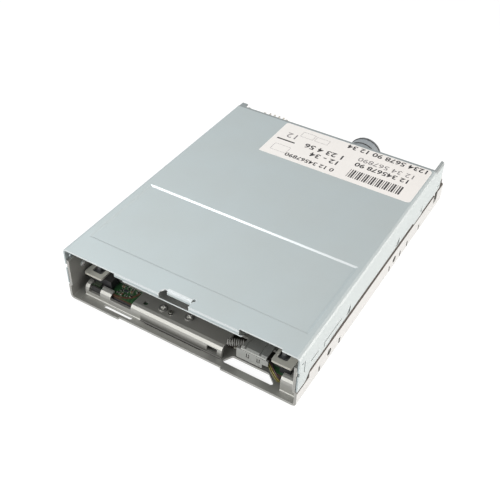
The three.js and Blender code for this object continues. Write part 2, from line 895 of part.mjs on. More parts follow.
function wallCuts(side) {
  const span = [halfWidth - pan.wallDepth, halfWidth + overrun];
  const through = (shape) => (side > 0 ? prismX(shape, span[0], span[1]) : prismX(shape, -span[1], -span[0]));
  const slots = [pinFront, pinBack].map((y) => through(rectangle(
    y - holder.pinRadius - fit,
    y + holder.pinRadius + fit,
    holder.pinZ - dropTravel - holder.pinRadius - fit,
    wallTop + overrun,
  )));
  const reliefs = tabShares.flatMap(({ from, to }) => [
    through(rectangle(from * driveLength - tabRelief.width, from * driveLength, -overrun, tabRelief.height)),
    through(rectangle(to * driveLength, to * driveLength + tabRelief.width, -overrun, tabRelief.height)),
  ]);
  const holes = [sideHole.front, sideHole.front + sideHole.pitch].map((y) => through(
    ring(y, sideHole.z, sideHole.radius, 12),
  ));
  const notchFront = driveLength - rearNotch.inset;
  const slopeFront = driveLength - rearSlope.length;
  return [
    ...slots,
    ...reliefs,
    ...holes,
    through(
      rectangle(
        notchFront,
        notchFront + rearNotch.length,
        rearNotch.low,
        rearNotch.high,
        rearNotch.corner,
      ),
    ),
    through(outline([
      [slopeFront, wallTop + overrun],
      [slopeFront, wallTop],
      [driveLength, rearSlope.bottom],
      [driveLength + overrun, rearSlope.bottom],
      [driveLength + overrun, wallTop + overrun],
    ])),
    through(ring(peepHole.y, peepHole.z, peepHole.radius, 10)),
  ];
}

// The two tabs on each side that take the bottom mounting screws
function bottomTabs(side) {
  const places = [sideHole.front, sideHole.front + sideHole.pitch];
  const outer = halfWidth - bottomHole.tabInset;
  const inner = outer - bottomHole.tabWidth;
  const span = side > 0 ? [inner, outer] : [-outer, -inner];
  const half = bottomHole.tabLength / 2;
  const centre = side * (halfWidth - bottomHole.inset);
  const through = [-overrun, pan.sheet + overrun];
  return {
    reliefs: places.map((y) => block(...span, y - half, y + half, pan.sheet, deckUnder)),
    plates: places.map((y) => block(...span, y - half, y + half, 0, pan.sheet)),
    holes: places.map((y) => prismZ(ring(centre, y, bottomHole.radius, 10), ...through)),
  };
}

function chassis() {
  const sides = [-1, 1];
  const outside = ({ x, y }) => ring(x, y, boardPost.radius, 12);
  const inside = ({ x, y }) => ring(x, y, boardPost.bore, screw.sides);
  const posts = boardScrews.map((place) => prismZ(outside(place), mainBoardTop, deckUnder + fit));
  const bores = boardScrews.map((place) => prismZ(inside(place), 0, deckUnder - fit));
  const screwTabs = sides.map(bottomTabs);
  const body = cut(panBody(), [
    ...frontCuts(),
    ...deckCuts(),
    ...sides.flatMap(wallCuts),
    ...screwTabs.flatMap((made) => made.reliefs),
  ]);
  return cut(join([body, ...posts, ...screwTabs.flatMap((made) => made.plates)]), [
    ...bores,
    ...screwTabs.flatMap((made) => made.holes),
  ]);
}

// Cover

function coverShell() {
  const side = halfWidth - cover.sheet / 2;
  const skin = driveHeight - cover.sheet / 2;
  const bend = cover.bend + cover.sheet / 2;
  const folded = [
    [-side, seam.front],
    [-side, skin, bend],
    [side, skin, bend],
    [side, seam.front],
  ];
  const rightEdge = [
    [side - cover.rearStrip, skin],
    [side, skin, bend],
    [side, seam.front],
  ];
  const lip = [
    [cover.sheet / 2, lipLow],
    [cover.sheet / 2, skin, bend],
    [cover.lipRun, skin],
  ];
  const tabOuter = cover.leftTabInset - halfWidth;
  return join([
    prismY(foldedStrip(folded, cover.sheet), 0, coverEnd),
    prismY(foldedStrip(rightEdge, cover.sheet), coverEnd - overrun, driveLength - cover.rightInset),
    prismX(foldedStrip(lip, cover.sheet), across.lipLeft, across.lipRight),
    block(tabOuter, tabOuter + cover.leftTabWidth, coverEnd - overrun, coverEnd + cover.leftTabLength,
      driveHeight - cover.sheet, driveHeight),
  ]);
}

// What lies under the lower edge of the cover's side flanges
function belowSeam() {
  const tabFrom = coverEnd - seam.tabInset;
  const tabTo = tabFrom + seam.tabLength;
  return prismX(outline([
    [-overrun, -overrun],
    [-overrun, seam.front],
    [seam.frontLength, seam.front],
    [seam.slopeEnd, seam.low],
    [seam.lowEnd, seam.low],
    [seam.lowEnd + seam.slope, seam.mid],
    [tabFrom - seam.slope, seam.mid],
    [tabFrom, seam.tab],
    [tabTo, seam.tab],
    [tabTo + seam.slope, seam.low],
    [driveLength, seam.low],
    [driveLength, -overrun],
  ]), -halfWidth - overrun, halfWidth + overrun);
}

// A shallow tray whose four edges slope
function tray(low, high) {
  const slopeShape = (from, to) => outline([
    [from, high],
    [from + panel.slope, low],
    [to - panel.slope, low],
    [to, high],
  ]);
  const left = panel.leftInset - halfWidth;
  const right = halfWidth - panel.rightInset;
  return prismX(slopeShape(along.panelFront, along.panelBack), left, right)
    .intersect(prismY(slopeShape(left, right), along.panelFront, along.panelBack));
}

function coverCuts() {
  const skinLow = driveHeight - cover.sheet;
  const notchTop = driveHeight - edgeNotch.drop;
  const both = (shape) => prismX(shape, -halfWidth - overrun, halfWidth + overrun);
  const hooks = hookHoles.map(({ from, length, height }) => both(outline([
    [from, hookLow],
    [from + length, hookLow],
    [from + length, hookLow + height],
  ])));
  const narrow = slits.map(({ from, length, low, height }) =>
    both(rectangle(from, from + length, low, low + height)),
  );
  return [
    belowSeam(),
    ...hooks,
    ...narrow,
    both(ring(flangeHole.y, driveHeight - flangeHole.drop, flangeHole.radius, 8)),
    both(rectangle(-overrun, edgeNotch.depth, notchTop - edgeNotch.height, notchTop)),
    prismX(ring(peepHole.y, peepHole.z, peepHole.radius, 10), -halfWidth - overrun, 0),
    prismZ(outline([
      [across.lipRight, -overrun],
      [across.cutRight + cover.cutBack, -overrun],
      [across.cutRight, cover.cutBack],
      [across.lipRight, cover.cutBack],
    ]), skinLow - fit, driveHeight + overrun),
    prismZ(outline([
      [lipNotch.left, -overrun],
      [lipNotch.tabRight, -overrun],
      [lipNotch.tabRight, lipNotch.back],
      [lipNotch.left + lipNotch.slant, lipNotch.back],
      [lipNotch.left, lipNotch.back / 2],
    ]), lipLow - overrun, driveHeight + overrun),
    block(lipNotch.tabRight, lipNotch.tabRight + lipNotch.slit, -overrun, lipNotch.holeY,
      lipLow - overrun, driveHeight + overrun),
    prismZ(ring(lipNotch.holeX, lipNotch.holeY, lipNotch.hole, 8), skinLow - fit, driveHeight + overrun),
  ];
}

// The sunk tongue in the middle of the front edge
function lipTongue() {
  const path = [
    [lipNotch.back - cover.sheet / 2, driveHeight - cover.sheet - lipNotch.tabDrop],
    [lipNotch.back - cover.sheet / 2, driveHeight - cover.sheet / 2, cover.bend + cover.sheet / 2],
    [lipNotch.back + overrun, driveHeight - cover.sheet / 2],
  ];
  return prismX(foldedStrip(path, cover.sheet), lipNotch.tabLeft, lipNotch.tabRight);
}

function topCover() {
  const sunk = driveHeight - panel.depth;
  const body = join([coverShell(), tray(sunk - cover.sheet, driveHeight - cover.sheet)]);
  return cut(body, [tray(sunk, driveHeight), ...coverCuts()]).add(lipTongue());
}

// Motor board and motor

function motorBoardBody() {
  const { front, gapBack, corner } = motorBoard;
  const shape = outline([
    [motorBoardLeft, front, corner],
    [across.boardGapLeft, front, corner],
    [across.boardGapLeft, gapBack, corner],
    [across.boardGapRight, gapBack, corner],
    [across.boardGapRight, front, corner / 2],
    [motorBoardRight, front, corner],
    [motorBoardRight, motorBoardBack, corner],
    [motorBoardLeft, motorBoardBack, corner],
  ]);
  const through = [motorBoardLow - overrun, motorBoard.top + overrun];
  return cut(prismZ(shape, motorBoardLow, motorBoard.top), [
    prismZ(ring(0, spindleY, bearing.outer + fit, 20), ...through),
    ...motorScrews.map(({ x, y }) => prismZ(ring(x, y, screw.shank + fit, screw.sides), ...through)),
    prismZ(ring(locatingPin.x, locatingPin.y, locatingPin.radius + fit, screw.sides), ...through),
  ]);
}

function bearingBody() {
  const low = rotorFloor + bearing.gap;
  const flangeTop = pan.deckTop + bearing.flangeHeight;
  return turned([
    [shaftBore, low],
    [bearing.outer, low],
    [bearing.outer, pan.deckTop],
    [bearing.flange, pan.deckTop],
    [bearing.flange, flangeTop],
    [shaftBore, flangeTop],
    [shaftBore, low],
  ], 20, 0, spindleY);
}

function statorBody() {
  const shoe = magnetInner - stator.airGap;
  const shoeInner = shoe - stator.shoeDepth;
  const low = rotorFloor + stator.lift;
  const top = low + stator.thickness;
  const step = (2 * Math.PI) / stator.poles;
  const half = (step * stator.shoeShare) / 2;
  const rootHalf = Math.asin(stator.toothWidth / 2 / stator.ring);
  const neckHalf = Math.asin(stator.toothWidth / 2 / shoeInner);
  const points = [];
  const put = (radius, angle) => {
    points.push(new THREE.Vector2(radius * Math.cos(angle), spindleY + radius * Math.sin(angle)));
  };
  for (let pole = 0; pole < stator.poles; pole += 1) {
    const middle = pole * step;
    put(stator.ring, middle - rootHalf);
    put(shoeInner, middle - neckHalf);
    put(shoeInner, middle - half);
    put(shoe, middle - half);
    put(shoe, middle);
    put(shoe, middle + half);
    put(shoeInner, middle + half);
    put(shoeInner, middle + neckHalf);
    put(stator.ring, middle + rootHalf);
  }
  const core = prismZ(new THREE.Shape(points), low, top);
  const coils = [];
  for (let pole = 0; pole < stator.poles; pole += 1) {
    const shape = rectangle(stator.ring + stator.coilInset, shoeInner - stator.coilGap,
      -stator.coilWidth / 2, stator.coilWidth / 2, stator.coilWidth / 4, 1);
    const coil = extruded(shape, stator.thickness + 2 * stator.coilOver);
    coil.rotateZ(pole * step).translate(0, spindleY, low - stator.coilOver);
    coils.push(solid(coil));
  }
  return cut(join([core, ...coils]), [
    prismZ(ring(0, spindleY, bearing.outer + fit, 20), low - overrun, top + overrun),
  ]);
}

function rotorWindow(middle) {
  const points = [];
  const from = middle - rotor.windowSpan / 2;
  const put = (share, step) => {
    const angle = from + (rotor.windowSpan * step) / rotor.windowSteps;
    const radius = rotor.radius * share;
    points.push(new THREE.Vector2(radius * Math.cos(angle), spindleY + radius * Math.sin(angle)));
  };
  for (let step = 0; step <= rotor.windowSteps; step += 1) put(windowShares.outer, step);
  for (let step = rotor.windowSteps; step >= 0; step -= 1) put(windowShares.inner, step);
  return prismZ(new THREE.Shape(points), rotor.low - overrun, rotorFloor + overrun / 2);
}

function rotorBody() {
  const inner = rotor.radius - rotor.wall;
  const cup = turned([
    [shaftBore, rotor.low],
    [rotor.radius, rotor.low],
    [rotor.radius, rotorRim],
    [inner, rotorRim],
    [inner, rotorFloor],
    [shaftBore, rotorFloor],
    [shaftBore, rotor.low],
  ], 30, 0, spindleY);
  const windows = [];
  for (let index = 0; index < rotor.windows; index += 1) {
    windows.push(rotorWindow((2 * Math.PI * index) / rotor.windows));
  }
  return cut(cup, windows);
}

function magnetBody() {
  const outer = rotor.radius - rotor.wall - fit;
  const low = rotorFloor + fit;
  return turned([
    [magnetInner, low],
    [outer, low],
    [outer, rotorRim],
    [magnetInner, rotorRim],
    [magnetInner, low],
  ], 30, 0, spindleY);
}

function shaftBody() {
  const top = hubTop + shaft.rise;
  const chamfer = shaft.radius / 4;
  return turned([
    [0, rotor.low],
    [shaft.radius, rotor.low],
    [shaft.radius, top - chamfer],
    [shaft.radius - chamfer, top],
    [0, top],
  ], 20, 0, spindleY);
}

function drivePinPlace() {
  return [drivePin.reach * Math.cos(drivePin.angle), spindleY + drivePin.reach * Math.sin(drivePin.angle)];
}

function hubTableBody() {
  const inner = hubTable.radius - hubTable.rim;
  const under = hubTop - hubTable.web;
  const chamfer = hubTable.rim / 4;
  const body = turned([
    [shaftBore, hubLow],
    [hubTable.boss, hubLow],
    [hubTable.boss, under],
    [inner, under],
    [inner, hubLow],
    [hubTable.radius, hubLow],
    [hubTable.radius, hubTop - chamfer],
    [hubTable.radius - chamfer, hubTop],
    [shaftBore, hubTop],
    [shaftBore, hubLow],
  ], 28, 0, spindleY);
  return cut(body, [prismZ(ring(...drivePinPlace(), drivePin.radius + fit, 12), hubLow, hubTop + overrun)]);
}

function drivePinBody() {
  const top = hubTop + drivePin.rise;
  return turned([
    [0, hubLow],
    [drivePin.radius, hubLow],
    [drivePin.radius, top - drivePin.radius / 2],
    [drivePin.radius / 2, top],
    [0, top],
  ], 12, ...drivePinPlace());
}

// Slide plate

function camSlot(pinY) {
  const half = holder.pinRadius + fit;
  const travel = new THREE.Vector2(ejectTravel, -dropTravel);
  const unit = travel.clone().normalize();
  const side = new THREE.Vector2(-unit.y, unit.x).multiplyScalar(half);
  const start = new THREE.Vector2(pinY, holder.pinZ);
  const end = start.clone().add(travel);
  const from = start.clone().addScaledVector(unit, -half);
  const to = end.clone().addScaledVector(unit, half);
  const corner = half * slide.camCornerShare;
  return outline([
    [from.x + side.x, from.y + side.y, corner],
    [from.x - side.x, from.y - side.y, corner],
    [to.x - side.x, to.y - side.y, corner],
    [to.x + side.x, to.y + side.y, corner],
  ]);
}

function slideSide(side) {
  const middle = slideLow + slide.sheet / 2;
  const path = [
    [side * railInner, middle],
    [side * (armOuter - slide.sheet / 2), middle, slide.bend + slide.sheet / 2],
    [side * (armOuter - slide.sheet / 2), armTop],
  ];
  const whole = prismY(foldedStrip(path, slide.sheet), slide.crossFront, railBack);
  const front = pinFront - slide.camLead;
  const armEnd = pinFront + ejectTravel + slide.camTail;
  const rearStart = pinBack - slide.camLead;
  const rearEnd = pinBack + ejectTravel + slide.camTail;
  const through = (shape) => (side > 0
    ? prismX(shape, railInner - overrun, armOuter + overrun)
    : prismX(shape, -armOuter - overrun, -railInner + overrun));
  const over = armTop + overrun;
  const gapShape = outline([
    [armEnd, over],
    [armEnd, slide.bandTop + slide.corner],
    [armEnd + slide.corner, slide.bandTop],
    [rearStart - slide.corner, slide.bandTop],
    [rearStart, slide.bandTop + slide.corner],
    [rearStart, over],
  ]);
  const guideX = side * (halfWidth - guide.inset);
  const studSlots = guidePlaces().map((y) => prismZ(rectangle(
    guideX - guide.stem - fit,
    guideX + guide.stem + fit,
    y - guide.stem - fit,
    y + ejectTravel + guide.stem + fit,
    guide.stem / 2,
  ), slideLow - overrun, slideLow + slide.sheet + overrun));
  return cut(whole, [
    through(rectangle(slide.crossFront - overrun, front, slide.bandTop, over)),
    through(gapShape),
    through(rectangle(rearEnd, railBack + overrun, slide.bandTop, over)),
    through(camSlot(pinFront)),
    through(camSlot(pinBack)),
    ...studSlots,
  ]);
}

function tongueBody() {
  const half = slide.sheet / 2;
  const riseFrom = buttonGap.back;
  const path = [
    [tongue.front + half, tongue.tabLow],
    [tongue.front + half, tongue.top - half, slide.bend + half],
    [riseFrom, tongue.top - half],
    [riseFrom + tongue.rise, slideLow + half],
    [crossBack - overrun, slideLow + half],
  ];
  const width = tongueRight - tongueLeft;
  const faceBack = tongue.front + slide.sheet;
  const bridge = prismX(foldedStrip(path, slide.sheet), tongueLeft, tongueRight);
  const tab = block(tabLeft, tabRight, tongue.front, faceBack, tongue.tabLow, tongue.top - slide.sheet);
  const grooves = grooveShares.map((share) => block(
    tongueLeft + share * width - tongueGroove.width / 2,
    tongueLeft + share * width + tongueGroove.width / 2,
    tongue.front - overrun,
    tongueGroove.back,
    tongue.top - tongueGroove.depth,
    tongue.top + overrun,
  ));
  const markLow = hookMark.z - hookMark.tail;
  const marks = markShares.map((share) => {
    const left = tongueLeft + share * width;
    const right = left + hookMark.width;
    return prismY(outline([
      [left, hookMark.z],
      [left, markLow],
      [right, markLow],
      [right, hookMark.z],
      [right - hookMark.slit, hookMark.z],
      [right - hookMark.slit, markLow + hookMark.slit],
      [left + hookMark.slit, markLow + hookMark.slit],
      [left + hookMark.slit, hookMark.z],
    ]), tongue.front - overrun, faceBack + overrun);
  });
  return cut(join([bridge, tab]), [
    ...grooves,
    ...marks,
    block(tabRight - tabStep.width, tabRight + overrun, tongue.front - overrun, faceBack + fit,
      tongue.tabLow - overrun, tabStep.low),
  ]);
}

function slideBody() {
  const cross = block(-railInner - overrun, railInner + overrun, slide.crossFront, crossBack,
    slideLow, slideLow + slide.sheet);
  return join([cross, slideSide(-1), slideSide(1), tongueBody()]);
}

function guidePlaces() {
  return [pinFront + guide.behindFrontPin, pinBack + guide.behindBackPin];
}

function guideBody(x, y) {
  const headLow = slideLow + slide.sheet + guide.lift;
  return turned([
    [0, pan.deckTop],
    [guide.stem, pan.deckTop],
    [guide.stem, headLow],
    [guide.head, headLow],
    [guide.head, headLow + guide.headHeight],
    [0, headLow + guide.headHeight],
  ], 16, x, y);
}

class Coil extends THREE.Curve {
  getPoint(t, target = new THREE.Vector3()) {
    const angle = 2 * Math.PI * spring.turns * t;
    const radius = spring.radius - spring.wire;
    const length = Math.hypot(spring.rightY - spring.leftY, spring.reach);
    return target.set(radius * Math.cos(angle), radius * Math.sin(angle), length * t);
  }
}

function springBody() {
  const coil = new THREE.ExtrudeGeometry(ring(0, 0, spring.wire, spring.sides), {
    steps: spring.turns * spring.steps,
    extrudePath: new Coil(),
    bevelEnabled: false,
  });
  const heading = Math.atan2(spring.rightY - spring.leftY, spring.reach);
  const left = tongueLeft - spring.gap - spring.reach;
  coil.rotateY(Math.PI / 2).rotateZ(heading).translate(left, spring.leftY, pan.deckTop + spring.radius + fit);
  return solid(coil);
}

// Disk holder

function leverSlot() {
  const points = [];
  const inner = leverReach - lever.pin - lever.slotRoom;
  const outer = leverReach + lever.pin + lever.slotRoom;
  const room = (lever.pin + lever.slotRoom) / leverReach;
  const from = THREE.MathUtils.degToRad(lever.restAngle) - room;
  const to = THREE.MathUtils.degToRad(lever.restAngle + lever.swing) + room;
  const put = (radius, step) => {
    const angle = from + ((to - from) * step) / lever.slotSteps;
    points.push(new THREE.Vector2(lever.x + radius * Math.cos(angle), leverY + radius * Math.sin(angle)));
  };
  for (let step = 0; step <= lever.slotSteps; step += 1) put(outer, step);
  for (let step = lever.slotSteps; step >= 0; step -= 1) put(inner, step);
  return new THREE.Shape(points);
}

function holderBody() {
  const side = holderSide - holder.sheet / 2;
  const top = pocketTop + holder.sheet / 2;
  const lip = lipTop - holder.sheet / 2;
  const bend = holder.bend + holder.sheet / 2;
  const leftBack = trackZeroY + holder.leftBehind;
  const rightBack = trackZeroY + holder.rightBehind;
  const sideBack = trackZeroY + holder.sideBehind;
  const notchRight = across.holderNotch + overrun;
  const path = [
    [-holderSide + holder.lip, lip],
    [-side, lip, bend],
    [-side, top, bend],
    [side, top, bend],
    [side, lip, bend],
    [holderSide - holder.lip, lip],
  ];
  const channel = prismY(foldedStrip(path, holder.sheet, 2), holder.front, leftBack);
  const frontTongue = prismZ(rectangle(across.holderTongueLeft, across.holderTongueRight, holder.tongueFront,
    holder.front + overrun, holder.tongueCorner), pocketTop, holderTop);
  const through = [pocketTop - overrun, holderTop + overrun];
  const low = lipTop - holder.sheet - overrun;
  const cuts = [
    prismZ(outline([
      [-holder.armSlot, spindleY + holder.armSlotBehind, holder.corner],
      [holder.armSlot, spindleY + holder.armSlotBehind, holder.corner],
      [holder.armSlot, rightBack],
      [notchRight, rightBack],
      [notchRight, leftBack + overrun],
      [-holder.armSlot, leftBack + overrun],
    ]), ...through),
    prismZ(rectangle(across.holderNotch, holderSide + overrun, sideBack, leftBack + overrun),
      low, holderTop + overrun),
    prismZ(rectangle(-holderSide - overrun, -holderSide + holder.lip + fit, sideBack, leftBack + overrun),
      low, holderTop + overrun),
    prismZ(leverSlot(), ...through),
  ];
  const pinEnd = halfWidth - holder.pinInset;
  const pins = [-1, 1].flatMap((sign) => [pinFront, pinBack].map((y) => {
    const shape = ring(y, holder.pinZ, holder.pinRadius, 12);
    return sign > 0 ? prismX(shape, side, pinEnd) : prismX(shape, -pinEnd, -side);
  }));
  const leverTop = holderTop + lever.lift + lever.sheet + lever.lift;
  const stud = turned([
    [0, pocketTop],
    [lever.stud, pocketTop],
    [lever.stud, leverTop],
    [lever.studHead, leverTop],
    [lever.studHead, leverTop + lever.studHeadHeight],
    [0, leverTop + lever.studHeadHeight],
  ], 16, lever.x, leverY);
  return join([cut(join([channel, frontTongue]), cuts), ...pins, stud]);
}

// The lever is drawn along +x from its pivot and turned to its rest angle by its group
function leverBody() {
  const low = holderTop + lever.lift;
  const half = lever.width / 2;
  const tipHalf = half * leverTipShare;
  const plate = join([
    prismZ(outline([
      [0, -half],
      [leverReach, -tipHalf],
      [leverReach + half, 0, half / 2],
      [leverReach, tipHalf],
      [0, half],
    ]), low, low + lever.sheet),
    prismZ(ring(0, 0, lever.hub, 18), low, low + lever.sheet),
    prismZ(ring(leverReach, 0, lever.pin, 12), lipTop + lever.pinOverLip, low + lever.sheet / 2),
  ]);
  return cut(plate, [prismZ(ring(0, 0, lever.stud + fit, 16), low - overrun, low + lever.sheet + overrun)]);
}

// Head carriage, drawn at track zero

function rodGroove(x, from, to) {
  const half = rod.radius + fit;
  return join([
    prismY(ring(x, rodZ, half, rod.sides), from, to),
    block(x - half, x + half, from, to, pan.deckTop, rodZ),
  ]);
}

function carriageBody() {
  const { low, frontTop, top, left, slope, earDepth, earWidth, earCorner, lugSide } = carriage;
  const right = carriageRight;
  const earFront = carriageBack - earDepth;
  const profile = outline([
    [carriageFront, low],
    [carriageBack, low],
    [carriageBack, earTop, earCorner],
    [earFront, earTop, earCorner],
    [earFront, top],
    [carriageStep + slope, top],
    [carriageStep, frontTop],
    [carriageFront, frontTop],
  ]);
  const noseHalf = carriage.noseWidth / 2;
  const columnHalf = carriage.columnLength / 2;
  const lugLow = pan.deckTop + fit;
  const main = prismX(profile, left, right);
  const nose = block(-noseHalf, noseHalf, carriageFront, carriageStep, low, frontTop);
  const column = block(
    right - overrun,
    columnRight,
    followerY - columnHalf,
    followerY + columnHalf,
    low,
    earTop,
  );
  const leftLug = block(rod.leftX - lugSide, left + overrun, leftLugFront, leftLugBack, lugLow, lugTop);
  const lugRight = rod.rightX + lugSide;
  const rightLug = block(noseHalf - overrun, lugRight, rightLugFront, rightLugBack, lugLow, lugTop);
  const hollow = block(left + earWidth, right - earWidth, earFront - overrun, carriageBack + overrun,
    top, earTop + overrun);
  return cut(join([main, nose, column, leftLug, rightLug]), [
    hollow,
    rodGroove(rod.leftX, leftLugFront - overrun, leftLugBack + overrun),
    rodGroove(rod.rightX, rightLugFront - overrun, rightLugBack + overrun),
    prismX(ring(armPivotY, arm.pivotZ, arm.pin + fit, 12), left - overrun, right + overrun),
    prismX(ring(followerY, stepperZ, follower.radius + fit, 12), right + fit, columnRight + overrun),
  ]);
}

function lowerHeadBody() {
  const half = head.width / 2;
  const front = trackZeroY - head.length / 2;
  const profile = outline([
    [-half, carriage.frontTop],
    [half, carriage.frontTop],
    [half, headTop, head.corner],
    [-half, headTop, head.corner],
  ]);
  return prismY(profile, front, front + head.length);
}

// The arm lies level when a disk is loaded and is tilted up by its group, whose origin is the pivot
function upperArmBody() {
  const half = arm.sheet / 2;
  const wide = arm.width / 2;
  const narrow = arm.noseWidth / 2;
  const middle = -armReach / 2;
  const nose = -armReach - head.length / 2;
  const plate = prismZ(outline([
    [armLeft, 0],
    [-wide, middle],
    [-narrow, nose, arm.noseCorner],
    [narrow, nose, arm.noseCorner],
    [wide, middle],
    [armRight, middle / 2],
    [armRight, 0],
  ]), -half, half);
  const ribs = [-wide + arm.ribWidth, wide - 2 * arm.ribWidth].map((x) => block(
    x,
    x + arm.ribWidth,
    nose + arm.ribWidth,
    middle - arm.ribWidth,
    half - fit,
    half + arm.rib,
  ));
  const knuckle = prismX(ring(0, 0, arm.knuckle, 16), armLeft, armRight);
  return cut(join([plate, knuckle, ...ribs]), [
    prismX(ring(0, 0, arm.pin + fit, 12), armLeft - overrun, armRight + overrun),
  ]);
}

function upperHeadBody() {
  const low = headTop + arm.loadedGap - arm.pivotZ;
  const half = head.width / 2;
  const profile = outline([
    [-half, -arm.sheet / 2],
    [-half, low, head.corner],
    [half, low, head.corner],
    [half, -arm.sheet / 2],
  ]);
  return prismY(profile, -armReach - head.length / 2, -armReach + head.length / 2);
}

// Stepper motor, lead screw and rods

function stepperBody() {
  const radius = stepperRadius;
  const recess = radius * stepperShares.recess;
  const boss = radius * stepperShares.boss;
  const seamY = (stepperFront + stepperBack) / 2;
  const boreEnd = stepperFront + stepper.boreDepth;
  const recessFloor = stepperBack - stepper.recessDepth;
  return turnedAlongY([
    [0, boreEnd],
    [stepper.bore, boreEnd],
    [stepper.bore, stepperFront],
    [radius, stepperFront],
    [radius, seamY - stepper.grooveWidth / 2],
    [radius - stepper.groove, seamY - stepper.grooveWidth / 2],
    [radius - stepper.groove, seamY + stepper.grooveWidth / 2],
    [radius, seamY + stepper.grooveWidth / 2],
    [radius, stepperBack - stepper.groove],
    [radius - stepper.groove, stepperBack],
    [recess, stepperBack],
    [recess, recessFloor],
    [boss, recessFloor],
    [boss, stepperBack],
    [0, stepperBack],
  ], stepper.sides, stepper.x, stepperZ);
}

function bracketSpan() {
  return [stepper.x - bracketHalf, stepper.x + bracketHalf];
}

function bracketScrews() {
  const [left, right] = bracketSpan();
  const y = stepperFront + bracket.foot - bracket.screwInset;
  return [
    { x: left + bracket.screwInset, y },
    { x: right - bracket.screwInset, y },
  ];
}

function bracketBody() {
  const [left, right] = bracketSpan();
  const face = stepperFront - bracket.sheet;
  const foot = stepperFront + bracket.foot;
  const path = [
    [face + bracket.sheet / 2, stepperTop],
    [face + bracket.sheet / 2, pan.deckTop + bracket.sheet / 2, bracket.sheet],
    [foot, pan.deckTop + bracket.sheet / 2],
  ];
  const through = [pan.deckTop - overrun, pan.deckTop + bracket.sheet + overrun];
  const body = prismX(foldedStrip(path, bracket.sheet), left, right);
  const rim = prismY(outline([
    [left, pan.deckTop],
    [right, pan.deckTop],
    [right, stepperTop, bracket.corner],
    [left, stepperTop, bracket.corner],
  ]), face - overrun, foot + overrun);
  return cut(body.intersect(rim), [
    prismY(ring(stepper.x, stepperZ, bracket.hole, 16), face - overrun, stepperFront + overrun),
    ...bracketScrews().map(({ x, y }) => prismZ(ring(x, y, screw.shank + fit, screw.sides), ...through)),
  ]);
}

// The screw's surface: a round bar whose radius follows a helix of one start
function leadScrewBody() {
  const turns = (threadBack - threadFront) / thread.pitch;
  const rings = Math.round(turns * thread.stepsPerTurn);
  const positions = [];
  const faces = [];
  const put = (radius, angle, y) => {
    positions.push(stepper.x + radius * Math.cos(angle), y, stepperZ + radius * Math.sin(angle));
  };
  for (let row = 0; row <= rings; row += 1) {
    const y = threadFront + ((threadBack - threadFront) * row) / rings;
    for (let side = 0; side < thread.sides; side += 1) {
      const angle = (2 * Math.PI * side) / thread.sides;
      const phase = (2 * Math.PI * (y - threadFront)) / thread.pitch - angle;
      const share = (1 + Math.cos(phase)) / 2;
      put(thread.core + (thread.crest - thread.core) * share, angle, y);
    }
  }
  const at = (row, side) => row * thread.sides + (side % thread.sides);
  for (let row = 0; row < rings; row += 1) {
    for (let side = 0; side < thread.sides; side += 1) {
      faces.push(at(row, side), at(row + 1, side), at(row, side + 1));
      faces.push(at(row, side + 1), at(row + 1, side), at(row + 1, side + 1));
    }
  }
  const frontCentre = positions.length / 3;
  positions.push(stepper.x, threadFront, stepperZ, stepper.x, threadBack, stepperZ);
  for (let side = 0; side < thread.sides; side += 1) {
    faces.push(frontCentre, at(0, side), at(0, side + 1));
    faces.push(frontCentre + 1, at(rings, side + 1), at(rings, side));
  }
  const geometry = new THREE.BufferGeometry();
  geometry.setAttribute('position', new THREE.Float32BufferAttribute(positions, 3));
  geometry.setIndex(faces);
  const journal = prismY(ring(stepper.x, stepperZ, thread.journal, thread.sides), endBearingFront,
    stepperFront + stepper.boreDepth - fit);
  return solid(geometry).add(journal);
}

function endBearingBody() {
  const half = endBearing.width / 2;
  const top = stepperZ + endBearing.over;
  const body = prismY(outline([
    [stepper.x - half, pan.deckTop],
    [stepper.x + half, pan.deckTop],
    [stepper.x + half, top, half / 2],
    [stepper.x - half, top, half / 2],
  ]), endBearingFront, endBearingBack);
  return cut(body, [
    prismY(ring(stepper.x, stepperZ, thread.journal + fit, thread.sides), endBearingFront - overrun,
      endBearingBack + overrun),
  ]);
}

function rodBody(x, from, to) {
  return prismY(ring(x, rodZ, rod.radius, rod.sides), from, to);
}

function clipBody(x, from) {
  const half = rodClip.width / 2;
  const top = rodZ + rod.radius + rodClip.over;
  const body = prismY(outline([
    [x - half, pan.deckTop],
    [x + half, pan.deckTop],
    [x + half, top, rodClip.corner],
    [x - half, top, rodClip.corner],
  ]), from, from + rodClip.length);
  return cut(body, [rodGroove(x, from - overrun, from + rodClip.length + overrun)]);
}

function sensorBody() {
  const right = rod.leftX - carriage.lugSide - sensor.gap;
  const left = right - sensor.width;
  const front = followerY - sensor.ahead;
  const middle = front + sensor.length / 2;
  const top = pan.deckTop + sensor.height;
  return cut(block(left, right, front, front + sensor.length, pan.deckTop, top), [
    block(left - overrun, right + overrun, middle - sensor.slotWidth / 2, middle + sensor.slotWidth / 2,
      pan.deckTop + sensor.base, top + overrun),
  ]);
}

// Switches

function switchShape(place, front, sideInset) {
  const { back, notchFront, corner } = switchBody;
  const left = place.left + sideInset;
  const right = place.left + place.width - sideInset;
  const notchLeft = place.left + place.notchInset;
  const notchRight = notchLeft + place.notchWidth;
  return outline([
    [left, front, corner],
    [right, front, corner],
    [right, back],
    [notchRight, back],
    [notchRight, notchFront, corner],
    [notchLeft, notchFront, corner],
    [notchLeft, back],
    [left, back],
  ]);
}

function switchCap(place) {
  return prismZ(switchShape(place, switchBody.front, 0), capLow, switchTop);
}

